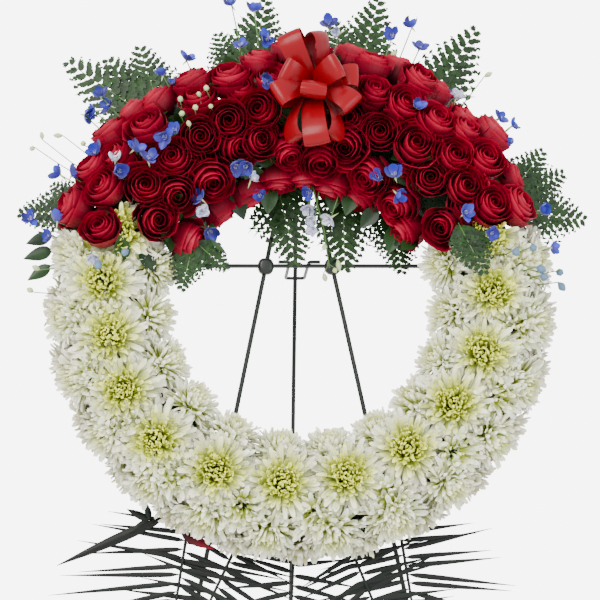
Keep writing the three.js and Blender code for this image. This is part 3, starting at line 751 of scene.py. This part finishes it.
def ribbon_loop(end, turn_deg, width, thick, fat, along, across):
    """One loop of ribbon from the knot at the origin. Its middle follows a drop: along = length / 2
    (1 - cos a), and half the breadth times sin a (0.7 - 0.3 cos a). It is gathered to a third of its
    width at the knot, in pleats that fade towards the far end, and bows a little across. At no turn
    its face is towards the front."""
    length = np.linalg.norm(end) + 0.004
    half = length * fat / 2
    a = np.linspace(0.02, 0.98, along)[None, :, None] * math.tau
    v = np.linspace(-1, 1, across)[None, None, :]
    open_share = np.sin(a / 2) ** 0.8
    x = length / 2 * (1 - np.cos(a)) - 0.004 + 0 * v
    y = half * np.sin(a) * (0.7 - 0.3 * np.cos(a)) + 0 * v
    pleat = 0.0016 * (1 - open_share) * np.cos(3 * np.pi * v) + 0.0012 * open_share * v**2
    slope = np.arctan2(np.gradient(y, axis=1), np.gradient(x, axis=1))
    z = width / 2 * v * (0.35 + 0.65 * open_share)
    band = np.stack([x + pleat * np.sin(slope), y - pleat * np.cos(slope), z], axis=-1)
    c, s = math.cos(math.radians(turn_deg)), math.sin(math.radians(turn_deg))
    rolled = band @ np.array([[1, 0, 0], [0, c, -s], [0, s, c]]).T
    out = unit(end)
    wide = unit(np.cross(out, [0.0, -1.0, 0.0]))
    placed = rolled @ np.stack([out, np.cross(wide, out), wide])
    return placed, thick, petal_values(a / math.tau, v, 0.0, 0.0)


# Its weave is drawn as 83 fine ribs across the ribbon, 0.4 mm apart, so that they just show.
ribbon, tree, shader = material(
    "acetate_satin_ribbon",
    Base_Color=linear("#74000c"),
    Roughness=0.28,
    Specular_IOR_Level=0.15,
    Coat_Weight=0.06,
    Coat_Roughness=0.08,
)
ribbed(tree, shader, petal_numbers(tree)[1], 260.0, 0.08, 0.0002)
loops = []
for across_mm, forward_mm, up_mm, turn_deg in BOW_LOOPS:
    loop_end = np.array([across_mm, -forward_mm, up_mm]) / 1000
    band, thick, values = ribbon_loop(loop_end, turn_deg, **RIBBON)
    loops.append((band + KNOT, thick, values))
bow = flower_piece("ribbon_bow_loops", loops, ribbon)
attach(bow, "wreath_and_frame")
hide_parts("bow")

# ---- Fern ----
# Leatherleaf fern, cut in short sprays: flat, semi-matt and twice divided, with small lobes set
# close along each side branch. A spray's stalk comes out of the foam's rim and bends outwards.
# Each spray: degrees round the ring, whether it leaves into the hole, and its tips in millimetres.
FERNS = {
    "fern_top_left": (126, False, [(-342, 10, 376), (-282, 24, 384), (-232, 6, 398)]),
    "fern_top": (103, False, [(-118, 24, 424), (-44, 10, 474)]),
    "fern_top_right": (76, False, [(124, 10, 476), (56, 24, 444)]),
    "fern_upper_right": (58, False, [(270, 10, 432)]),
    "fern_right": (27, False, [(420, -10, 132), (394, 14, 210), (360, -6, 240)]),
    "fern_left": (154, False, [(-404, -8, 140), (-358, 16, 190)]),
    "fern_inner_left": (100, True, [(-4, -30, 56)]),
    "fern_inner_middle": (72, True, [(64, -30, 48)]),
    "fern_inner_right": (50, True, [(146, -30, 46)]),
}
FERN = dict(
    pinnae=11, lobes=8, slant=0.8, widest=0.062, droop=0.006, thick=0.0003, along=4, across=3
)
FOAM_RIMS, STALK_FOOT_Y = (0.298, 0.228), -0.046  # the foam's outer and inner rim, and how deep
STALK_BENDS, STALK_BEND_Y = (0.326, 0.202), -0.018  # where a stalk bends, outside and inside
# Short fern tips tucked under the roses: root and tip in millimetres.
FERN_TRIMS = [
    ((212, -138, 100), (246, -154, 22)),
    ((-150, -92, 84), (-168, -98, 10)),
    ((-150, -88, 84), (-102, -80, 44)),
]
TRIM = {**FERN, "pinnae": 8, "lobes": 6}


def ring_point(round_deg, radius, y):
    """A point of the leaning plane by its angle round the ring and its distance from its centre."""
    a = np.radians(round_deg)
    return np.array([radius * np.cos(a), y, radius * np.sin(a)])


def lens_leaves(base, along_dir, side_dir, length, width, point, fold, along, across):
    """Many flat leaves at once. Each runs from its base along a direction, its blade out to the
    sides by half its width times sin(pi s^point), never quite closing, and folds up to both sides
    in a V."""
    s = np.linspace(0, 1, along)[None, :, None, None]
    v = np.linspace(-1, 1, across)[None, None, :, None]
    up_dir = np.cross(along_dir, side_dir)
    half = width[:, None, None, None] / 2 * (0.06 + 0.94 * np.sin(np.pi * s**point))
    return (
        base[:, None, None]
        + along_dir[:, None, None] * s * length[:, None, None, None]
        + side_dir[:, None, None] * v * half
        + up_dir[:, None, None] * np.abs(v) * half * fold
    )


def frond_axes(start, tip):
    """The axes of a frond laid flat: along it, across it, and out of its face."""
    along_dir = unit(tip - start)
    across_dir = unit(np.cross([0.0, -1.0, 0.0], along_dir))
    return np.stack([along_dir, across_dir, np.cross(along_dir, across_dir)])


def fern_frond(seed, start, tip, pinnae, lobes, slant, widest, droop, thick, along, across):
    """One frond. Side branches leave the midrib in pairs at a slant, shorter towards the tip; lobes
    leave each branch the same way, on a narrow blade of its own. The frond's edges droop with the
    square of the distance from the midrib."""
    rng = np.random.default_rng(seed)
    length = np.linalg.norm(tip - start)
    pitch = length / pinnae
    reach = min(widest, 0.42 * length)
    grid = np.meshgrid(np.arange(pinnae), np.arange(lobes), [-1.0, 1.0], [-1.0, 1.0], indexing="ij")
    i, j, side, turn = [g.ravel() for g in grid]
    flat_side = 0 * side
    t = 0.06 + 0.93 * (i + 0.35 * (side > 0)) / pinnae
    out = reach * (1 - t) ** 0.8 * np.minimum(1, 0.6 + 2 * t)
    out = out * (1 + 0.07 * rng.normal(0, 1, len(t)))
    branch = np.stack([flat_side + slant, side, flat_side], axis=1) / math.hypot(slant, 1)
    branch_length = out * math.hypot(slant, 1)
    branch_foot = np.stack([t * length, flat_side, flat_side], axis=1)
    q = (j + 0.15) / lobes
    sideways = np.stack([-branch[:, 1], branch[:, 0], flat_side], axis=1) * turn[:, None]
    lobe_dir = unit(branch + sideways * 0.75)
    lobe_dir[:, 2] = rng.normal(0, 0.12, len(t))
    size = 0.75 * pitch * (1 - q) ** 0.7 * (1 - 0.45 * t) + 0.0015
    size = size * (1 + 0.1 * rng.normal(0, 1, len(t)))
    up, form = [0.0, 0.0, 1.0], (0.15, along, across)
    lobe_foot = branch_foot + branch * (branch_length * q)[:, None]
    lobe_wide = branch_length * 1.5 / lobes
    leaves = lens_leaves(lobe_foot, lobe_dir, np.cross(up, lobe_dir), size, lobe_wide, 0.75, *form)
    one = (j == 0) & (turn > 0)
    blade_dir, blade_wide = branch[one], 0.6 * pitch * (1 - 0.5 * t[one])
    blade_side = np.cross(up, blade_dir)
    blades = lens_leaves(
        branch_foot[one], blade_dir, blade_side, branch_length[one], blade_wide, 0.45, *form
    )
    flat = np.concatenate([leaves, blades])
    t = np.concatenate([t, t[one]])
    flat[..., 2] -= droop * (flat[..., 1] / widest) ** 2
    sheets = flat @ frond_axes(start, tip) + start
    s, v = petal_grid(along, across)
    return sheets, thick, petal_values(s, v, t[:, None, None], rng.random(len(t))[:, None, None])


def leaf_finish(name, dark, light, roughness, vein_mm):
    """Leaf skin: waxy, in two greens that follow patches 22 mm wide and the leaf's own tone, with
    fine veins raised on it."""
    made, tree, shader = material(name, Roughness=roughness, Specular_IOR_Level=0.25)
    place = node(tree, "ShaderNodeTexCoord").outputs["Object"]
    patches = node(tree, "ShaderNodeTexNoise", {"Scale": 45.0, "Detail": 4, "Vector": place})
    spread = node(
        tree,
        "ShaderNodeMath",
        {0: petal_numbers(tree)[3], 1: 0.6, 2: patches.outputs["Fac"]},
        operation="MULTIPLY_ADD",
    )
    share = node(
        tree,
        "ShaderNodeMapRange",
        {"From Min": 0.35, "From Max": 1.2, "Value": spread.outputs[0]},
    )
    colour = node(
        tree,
        "ShaderNodeMix",
        {"A": linear(dark), "B": linear(light), "Factor": share.outputs["Result"]},
        data_type="RGBA",
    )
    tree.links.new(colour.outputs["Result"], shader.inputs["Base Color"])
    grained(tree, shader, 1000 / vein_mm, 2, 0.2, 0.0004)
    return made


STALK_SIDES = 6


def tube(path, radius):
    """A closed six-sided stalk along a path of points. At each point a ring of the given radius
    stands square to the path; each end is closed by two quads."""
    path = np.asarray(path, float)
    radius = np.broadcast_to(radius, len(path))[:, None, None]
    heading = unit(np.gradient(path, axis=0))
    first = unit(np.cross(heading, [0.21, 0.93, 0.3]))
    second = np.cross(heading, first)
    a = (np.arange(STALK_SIDES) * math.tau / STALK_SIDES)[None, :, None]
    rings = path[:, None] + radius * (np.cos(a) * first[:, None] + np.sin(a) * second[:, None])
    index = np.arange(len(path) * STALK_SIDES).reshape(-1, STALK_SIDES)
    after = np.roll(index, -1, axis=1)
    walls = np.stack([index[:-1], after[:-1], after[1:], index[1:]], axis=-1).reshape(-1, 4)
    foot, tip = index[0], index[-1]
    ends = [foot[[3, 2, 1, 0]], foot[[0, 5, 4, 3]], tip[[0, 1, 2, 3]], tip[[3, 4, 5, 0]]]
    return rings.reshape(-1, 3), np.concatenate([walls, ends])


def stalk_piece(name, stalks, finish):
    """Joins stalks, each (path, radius), into one piece in its place."""
    vertices, faces, start = [], [], 0
    for path, radius in stalks:
        points, quads = tube(path, radius)
        vertices.append(points)
        faces.append(quads + start)
        start += len(points)
    return build_piece(name, in_place(np.concatenate(vertices)), np.concatenate(faces), finish)


fern_leaf = leaf_finish("leatherleaf_fern", "#041403", "#1a3c0e", 0.5, 1.5)
stem_green, _, _ = material("green_stem", Base_Color=linear("#3f6326"), Roughness=0.5)
midribs = []
for number, (name, (root, inside, tips)) in enumerate(FERNS.items()):
    leaves_at = ring_point(root, STALK_BENDS[inside], STALK_BEND_Y)
    fronds = []
    for i, tip_mm in enumerate(tips):
        tip = np.array(tip_mm) / 1000
        fronds.append(fern_frond(2000 + 10 * number + i, leaves_at, tip, **FERN))
        rib = [leaves_at, leaves_at * 0.5 + tip * 0.5, leaves_at * 0.04 + tip * 0.96]
        midribs.append((rib, [0.0012, 0.0009, 0.0004]))
    spray = flower_piece(name + "_leaves", fronds, fern_leaf)
    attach(spray, "wreath_and_frame")
    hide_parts(name)
    midribs.append(([ring_point(root, FOAM_RIMS[inside], STALK_FOOT_Y), leaves_at], 0.0018))
trims = []
for i, ends_mm in enumerate(FERN_TRIMS):
    root_at, tip = np.array(ends_mm) / 1000
    trims.append(fern_frond(2300 + i, root_at, tip, **TRIM))
    midribs.append(([root_at, (root_at + tip) / 2, tip], [0.0010, 0.0008, 0.0003]))
trim_piece = flower_piece("fern_trims", trims, fern_leaf)
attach(trim_piece, "wreath_and_frame")
fern_ribs = stalk_piece("fern_midribs", midribs, stem_green)
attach(fern_ribs, "wreath_and_frame")
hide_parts(*FERNS)

# ---- Palm ----
# Five fronds of dark green palm under the ring, each a stiff midrib with long folded leaflets in
# pairs. They hang in layers, a little forward of the tray, and some leaflets have come loose.
# Each frond: degrees round the ring at its root, the way it points, its length, reach and layer.
PALMS = {
    "palm_left": (-118, -99, 330, 190, 1),
    "palm_lower_left": (-105, -116, 350, 140, 0),
    "palm_bottom": (-92, -93, 390, 130, 2),
    "palm_lower_right": (-79, -68, 350, 140, 4),
    "palm_right": (-66, -82, 330, 175, 3),
}
PALM = dict(pairs=27, slant=-0.12, lean=1.5, width=0.0078, thick=0.0005, along=13, across=3)
PALM_TOP = 0.300  # below this distance under the centre a frond slopes forward
PALM_BEND, PALM_BEND_Y, LAYER = 0.334, -0.007, 0.0022
RIB_POINTS = 12
# A wide folded leaflet and a lobed leaf: each blade's foot, tip and width in millimetres.
LOOSE_LEAVES = [
    ((-187, -16, -291), (-338, -26, -358), 15), ((-212, -18, -296), (-243, -22, -281), 11),
    ((-212, -18, -296), (-238, -22, -313), 11), ((-212, -18, -296), (-216, -22, -272), 10),
]


def slope_forward(points, slope):
    """Lets a frond slope forward below the tray: y drops by the slope times the depth below the
    palm's top."""
    points[..., 1] -= slope * np.maximum(0, -PALM_TOP - points[..., 2])
    return points


def palm_frond(seed, start, tip, reach, slope, pairs, slant, lean, width, thick, along, across):
    """One frond's leaflets. A pair at share t of the length reaches reach (1 - t)^0.75 out to the
    sides, a little shorter at the root, and leans towards the tip by slant + lean t for each unit
    out."""
    rng = np.random.default_rng(seed)
    length = np.linalg.norm(tip - start)
    i, side = [g.ravel() for g in np.meshgrid(np.arange(pairs), [-1.0, 1.0], indexing="ij")]
    t = 0.02 + 0.96 * (i + 0.3 * (side > 0)) / pairs
    out = reach * (1 - t) ** 0.75 * np.minimum(1, 0.55 + 2 * t)
    out = out * (1 + 0.05 * rng.normal(0, 1, len(t)))
    ahead = slant + lean * t + 0.13 * rng.normal(0, 1, len(t))
    way = unit(np.stack([ahead, side, rng.normal(0, 0.03, len(t))], axis=1))
    leaf_length = out * np.hypot(ahead, 1)
    blade_side = np.cross([0.0, 0.0, 1.0], way)
    foot = np.stack([t * length, 0 * t, 0 * t], axis=1)
    wide = width * (0.75 + 0.25 * leaf_length / leaf_length.max())
    flat = lens_leaves(foot, way, blade_side, leaf_length, wide, 0.45, -0.35, along, across)
    sheets = slope_forward(flat @ frond_axes(start, tip) + start, slope)
    s, v = petal_grid(along, across)
    return sheets, thick, petal_values(s, v, t[:, None, None], rng.random(len(t))[:, None, None])


def loose_blades(blades, thick, fold, finish, name, along=9, across=5):
    """Single blades given by foot, tip and width, as one piece."""
    foot, tip = (np.array([blade[end] for blade in blades]) / 1000 for end in (0, 1))
    long, wide = np.linalg.norm(tip - foot, axis=1), np.array([blade[2] for blade in blades]) / 1000
    way = unit(tip - foot)
    side = np.cross(way, [0.0, -1.0, 0.0])
    sheets = lens_leaves(foot, way, side, long, wide, 0.7, fold, along, across)
    tone = np.linspace(0, 1, len(blades))[:, None, None]
    values = petal_values(*petal_grid(along, across), 0.5, tone)
    return flower_piece(name, [(sheets, thick, values)], finish)


palm_leaf = leaf_finish("palm_leaflet", "#010402", "#050f08", 0.5, 2.0)
ribs = []
for number, (name, (root, way, length_mm, reach_mm, layer)) in enumerate(PALMS.items()):
    root_at = ring_point(root, FOAM_RIMS[0], STALK_FOOT_Y)
    leaves_at = ring_point(root, PALM_BEND, PALM_BEND_Y - LAYER * layer)
    tip = leaves_at + ring_point(way, length_mm / 1000, 0)
    slope = 0.05 + 0.01 * layer
    leaflets = palm_frond(2500 + number, leaves_at, tip, reach_mm / 1000, slope, **PALM)
    palm = flower_piece(name + "_leaflets", [leaflets], palm_leaf)
    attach(palm, "wreath_and_frame")
    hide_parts(name)
    share = np.linspace(0, 1, RIB_POINTS)[:, None]
    rib_path = slope_forward(leaves_at * (1 - share) + tip * share, slope)
    ribs.append((rib_path, np.linspace(0.0024, 0.0007, RIB_POINTS)))
    ribs.append(([root_at, rib_path[0]], 0.0024))
loose_piece = loose_blades(LOOSE_LEAVES, 0.0005, 0.35, palm_leaf, "loose_palm_leaves")
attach(loose_piece, "wreath_and_frame")
palm_ribs = stalk_piece("palm_midribs", ribs, palm_leaf)
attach(palm_ribs, "wreath_and_frame")
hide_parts(*PALMS)

# ---- Delphinium ----
# Sprigs of delphinium pushed in among the roses: violet-blue florets of five cupped sepals with a
# spur behind and a small white bee in the middle, some still pale, and slim green-white buds on thin
# stems. Each floret or bud: degrees round the ring, degrees over its section, millimetres out of it.
FLORETS = [
    (103, 16, 120), (99, 16, 106), (103, 16, 62), (97, 16, 66), (115, 16, 66), (121, 16, 62),
    (120, 16, 44), (134, 16, 90), (134, 16, 71), (137, 16, 80), (139, 16, 86), (100, 67, 46),
    (117, 126, 46), (113, 131, 46), (111, 168, 48), (136, 133, 46), (142, 168, 46), (163, 16, 78),
    (162, 25, 46), (165, 16, 44), (152, 16, 66), (151, 16, 52), (139, 65, 46), (139, 80, 46),
    (146, 67, 46), (131, 77, 46), (128, 77, 46), (144, 31, 46), (84, 16, 84), (71, 16, 90),
    (68, 16, 110), (65, 16, 86), (59, 65, 46), (55, 16, 44), (43, 23, 46), (43, 16, 70),
    (40, 16, 76), (38, 16, 52), (53, 123, 46), (48, 134, 46), (58, 132, 46), (86, 168, 54),
    (27, 100, 46), (21, 18, 46), (18, 87, 46), (12, 24, 46),
]
PALE_FLORETS = [
    (113, 144, 46), (139, 143, 46), (170, 77, 46), (144, 58, 46), (82, 16, 74), (53, 16, 51),
    (81, 170, 108), (86, 170, 74), (85, 170, 92), (71, 170, 84),
]
BUDS = [
    (122, 57, 46), (120, 71, 48), (116, 77, 50), (117, 62, 46), (115, 62, 50), (124, 68, 46),
    (124, 82, 48), (148, 16, 112), (150, 16, 116), (145, 16, 92), (144, 16, 64), (173, 16, 50),
    (178, 16, 56), (148, 170, 66), (70, 16, 61), (72, 16, 48), (69, 19, 46), (51, 16, 100),
]
CLOSED_FLORETS = [
    (12, 58, 48), (12, 73, 48), (7, 57, 48), (5, 51, 48), (7, 16, 50), (4, 26, 48), (166, 100, 46),
    (171, 80, 46),
]
# A stem that hangs into the hole, in millimetres, and its buds, each with the joint that it leaves.
HANGING_STEM = [(15, -70, 175), (23, -66, 142), (33, -62, 103), (37, -60, 70), (40, -60, 52)]
HANGING_BUDS = [(34, -64, 86, 2), (51, -62, 64, 3), (46, -62, 52, 4), (31, -62, 44, 4)]
FLORET = dict(sepals=5, long=0.0160, wide=0.0130, thick=0.0004, along=6, across=5)
PALE = 0.85
BUD_SWELL = np.array([0.4, 2.4, 3.7, 3.9, 2.8, 0.6]) / 1000  # a bud's radii, from foot to tip


def floret_sepals(seed, sepals, long, wide, thick, along, across, pale):
    """One floret, facing +z. Each sepal runs out and up in an arc, hollowed across, as wide as the
    sine of its length lets it be; three small ones of the same form make the bee in the middle."""
    rng = np.random.default_rng(seed)
    k = np.arange(sepals + 3)
    inner = (k >= sepals)[:, None, None]
    s, v = petal_grid(along, across)
    loose = rng.normal(0, 1, (2, len(k)))[:, :, None, None]
    turn = k * math.tau / np.where(k < sepals, sepals, 3) + rng.normal(0, 0.12, len(k))
    c, n = np.cos(turn)[:, None, None], np.sin(turn)[:, None, None]
    length = np.where(inner, 0.36, 1.0) * long * (1 + 0.08 * loose[0])
    angle = (np.where(inner, 1.2, 0.8) + 0.3 * loose[1]) * (0.35 + 0.65 * s)
    out = 0.0008 + length * s * np.cos(angle)
    up = length * s * np.sin(angle)
    half = np.where(inner, 0.4, 1.0) * wide / 2 * (0.15 + 0.85 * np.sin(np.pi * s**0.95) ** 0.9)
    side, height = half * v, up + half * 0.45 * v**2
    sheets = np.stack([out * c - side * n, out * n + side * c, height], axis=-1)
    ring = np.where(inner, 0.35 + pale / 2, pale)
    return sheets, thick, petal_values(s, v, ring, rng.random(len(k))[:, None, None])


def delphinium_finish():
    """Thin flesh, violet at the foot and bluer towards the tips, washed with white in patches 4 mm
    wide where the floret is pale."""
    made, tree, shader = material(
        "delphinium_sepal", Roughness=0.45, Specular_IOR_Level=0.4, Sheen_Weight=0.2
    )
    along, _, ring, tone = petal_numbers(tree)
    place = node(tree, "ShaderNodeTexCoord").outputs["Object"]
    patches = node(tree, "ShaderNodeTexNoise", {"Scale": 260.0, "Vector": place})
    washed = node(
        tree,
        "ShaderNodeMapRange",
        {"From Min": 0.38, "From Max": 0.6, "To Min": 0.35, "Value": patches.outputs["Fac"]},
    )
    pale = node(
        tree, "ShaderNodeMath", {0: ring, 1: washed.outputs["Result"]}, operation="MULTIPLY"
    )
    blue = node(
        tree,
        "ShaderNodeMix",
        {"A": linear("#060a4e"), "B": linear("#2036bc"), "Factor": tone},
        data_type="RGBA",
    )
    tipped = node(
        tree,
        "ShaderNodeMix",
        {"A": linear("#2a1c86"), "B": blue.outputs["Result"], "Factor": along},
        data_type="RGBA",
    )
    colour = node(
        tree,
        "ShaderNodeMix",
        {"A": tipped.outputs["Result"], "B": linear("#e4e6ee"), "Factor": pale.outputs[0]},
        data_type="RGBA",
    )
    tree.links.new(colour.outputs["Result"], shader.inputs["Base Color"])
    grained(tree, shader, 900.0, 2, 0.2, 0.0003)
    return made


def stood_in_bed(round_deg, over_deg, out_mm, rng, lean):
    """Where a small flower stands: its stem's foot on the roses' bed, its place, and its way."""
    foot, facing = bed_place(**ROSE_BED, round_deg=round_deg, over_deg=over_deg)
    way = facing + [0, -0.5, 0] + lean * rng.normal(0, 1, 3)
    return foot, foot + facing * out_mm / 1000, unit(way)


delphinium = delphinium_finish()
bud_green, _, _ = material("delphinium_bud", Base_Color=linear("#a9bb86"), Roughness=0.5)
closed_blue, _, _ = material(
    "closed_delphinium_floret", Base_Color=linear("#4d6a86"), Roughness=0.5
)
scatter = np.random.default_rng(31)
floret_heads, bud_stalks, small_stems, closed_florets = [], [], [], []
spots = [(spot, 0.0) for spot in FLORETS] + [(spot, PALE) for spot in PALE_FLORETS]
for seed, (spot, pale) in enumerate(spots):
    foot, place, way = stood_in_bed(*spot, scatter, 0.7)
    sepals, thick, values = floret_sepals(3000 + seed, **FLORET, pale=pale)
    sepals = set_head(sepals, place, way, seed, scatter.uniform(0.72, 1.1))
    floret_heads.append((sepals, thick, values))
    bend = foot * 0.4 + place * 0.6 + [0, 0.002, 0]
    small_stems.append(([foot, bend, place], [0.0011, 0.0009, 0.0008]))
    spur = place - way * 0.010 + 0.003 * scatter.normal(0, 1, 3)
    bud_stalks.append(([place, place * 0.5 + spur * 0.5, spur], [0.0016, 0.0011, 0.0004]))
for spot in BUDS:
    foot, place, way = stood_in_bed(*spot, scatter, 0.5)
    path = place + way * np.linspace(0, scatter.uniform(0.010, 0.014), len(BUD_SWELL))[:, None]
    bud_stalks.append((path, BUD_SWELL * scatter.uniform(0.8, 1.1)))
    bend = foot * 0.4 + place * 0.6 + 0.003 * scatter.normal(0, 1, 3)
    small_stems.append(([foot, bend, place], 0.0007))
hanging = np.array(HANGING_STEM) / 1000
small_stems.append((hanging, [0.0016, 0.0014, 0.0011, 0.0009, 0.0007]))
for *bud_mm, joint in HANGING_BUDS:
    bud_at = np.array(bud_mm) / 1000
    small_stems.append(([hanging[joint] * 0.7 + hanging[joint - 1] * 0.3, bud_at], 0.0006))
    bud_way = scatter.normal(0, 0.3, 3) + [0, -0.3, -1.0]
    bud_stalks.append((bud_at + bud_way * np.linspace(0, 0.010, len(BUD_SWELL))[:, None], BUD_SWELL))
for spot in CLOSED_FLORETS:
    foot, place, way = stood_in_bed(*spot, scatter, 0.5)
    path = place + (way + [0, 0, -0.8]) * np.linspace(0, 0.015, len(BUD_SWELL))[:, None]
    closed_florets.append((path, 1.45 * BUD_SWELL * scatter.uniform(0.85, 1.1)))
    small_stems.append(([foot, foot * 0.4 + place * 0.6, place], 0.0008))
closed = stalk_piece("delphinium_closed_florets", closed_florets, closed_blue)
florets = flower_piece("delphinium_florets", floret_heads, delphinium)
buds = stalk_piece("delphinium_buds", bud_stalks, bud_green)
sprig_stems = stalk_piece("delphinium_stems", small_stems, stem_green)
for piece in (florets, closed, buds, sprig_stems):
    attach(piece, "wreath_and_frame")

# ---- Rose leaves and stems ----
# Cut leaves fill the gaps between the roses and hang over the hole's edge: dark, waxy, oval, folded
# along the midrib. Each rose stands on its green calyx and a stem pushed into the foam.
LEAVES_IN_BED = 90
BED_START, BED_TURN = 16, 154  # the degrees round the ring where the roses' bed starts, and its turn
# Leaves over the hole's edge: degrees round the ring, degrees over its section, millimetres out.
HANGING_LEAVES = [
    (66, 176, 20), (74, 180, 26), (52, 178, 30), (40, 176, 32), (34, 172, 22), (92, 178, 24),
    (104, 180, 30), (120, 178, 20), (138, 176, 30), (146, 172, 26), (154, 168, 20), (30, 168, 26),
]
# Leaves placed singly, at the left side, under the roses and behind gaps between them, and a rose
# petal fallen under the ring: foot, tip and width in millimetres.
SIDE_LEAVES = [
    ((-350, -60, 98), (-384, -60, 86), 19), ((-348, -60, 78), (-387, -62, 64), 20),
    ((-350, -58, 56), (-381, -60, 34), 18), ((-126, -96, 84), (-104, -84, 66), 8),
    ((-146, -34, 240), (-200, -34, 300), 46), ((-134, -58, 156), (-172, -58, 104), 26),
]
FALLEN_PETAL = ((-168, -18, -314), (-122, -20, -337), 16)
LEAF = dict(length=0.044, width=0.026, thick=0.0004, along=7, across=5)
# Along a rose's stem, from in the foam to under its petals: places on its axis, and radii.
CALYX_AT = np.array([-0.034, -0.004, 0.002, 0.008])
CALYX_RADII = [0.0026, 0.0026, 0.0060, 0.0085]

rose_leaf = leaf_finish("rose_leaf", "#0a1f0c", "#23421c", 0.4, 1.2)
feet, leaf_ways, leaf_sides = [], [], []
for i in range(LEAVES_IN_BED):
    foot, facing = bed_place(
        **ROSE_BED,
        round_deg=BED_START + BED_TURN * i / LEAVES_IN_BED,
        over_deg=scatter.uniform(-5, 185),
        raised=scatter.uniform(0.004, 0.016),
    )
    way = np.cross(facing, scatter.normal(0, 1, 3)) + 0.4 * facing * np.linalg.norm(facing)
    feet.append(foot)
    leaf_ways.append(unit(way))
    leaf_sides.append(unit(np.cross(facing, way)))
for round_deg, over_deg, out_mm in HANGING_LEAVES:
    foot, facing = bed_place(
        **ROSE_BED, round_deg=round_deg, over_deg=over_deg, raised=out_mm / 1000
    )
    way = facing + [0, 0, -0.4] + 0.25 * scatter.normal(0, 1, 3)
    feet.append(foot)
    leaf_ways.append(unit(way))
    leaf_sides.append(unit(np.cross([0, -1.0, 0], way)))
leaf_sizes = scatter.uniform(0.75, 1.1, len(feet))
feet, leaf_ways, leaf_sides = map(np.array, (feet, leaf_ways, leaf_sides))
long, wide = LEAF["length"] * leaf_sizes, LEAF["width"] * leaf_sizes
grid = LEAF["along"], LEAF["across"]
leaves = lens_leaves(feet, leaf_ways, leaf_sides, long, wide, 0.85, 0.3, *grid)
leaf_values = petal_values(*petal_grid(*grid), 0.0, scatter.random(len(feet))[:, None, None])
leaf_piece = flower_piece("rose_leaves", [(leaves, LEAF["thick"], leaf_values)], rose_leaf)
side_leaves = loose_blades(SIDE_LEAVES, 0.0004, 0.2, rose_leaf, "side_leaves")
low_petal = loose_blades([FALLEN_PETAL], 0.0005, 0.3, rose_petal, "low_petal")
for piece in (side_leaves, low_petal):
    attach(piece, "wreath_and_frame")
rose_stems = [(base + facing * CALYX_AT[:, None], CALYX_RADII) for base, facing in rose_bases]
rose_stem_piece = stalk_piece("rose_stems", rose_stems, stem_green)
for piece in (leaf_piece, rose_stem_piece):
    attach(piece, "wreath_and_frame")
    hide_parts(*ROSE_BUNCHES)
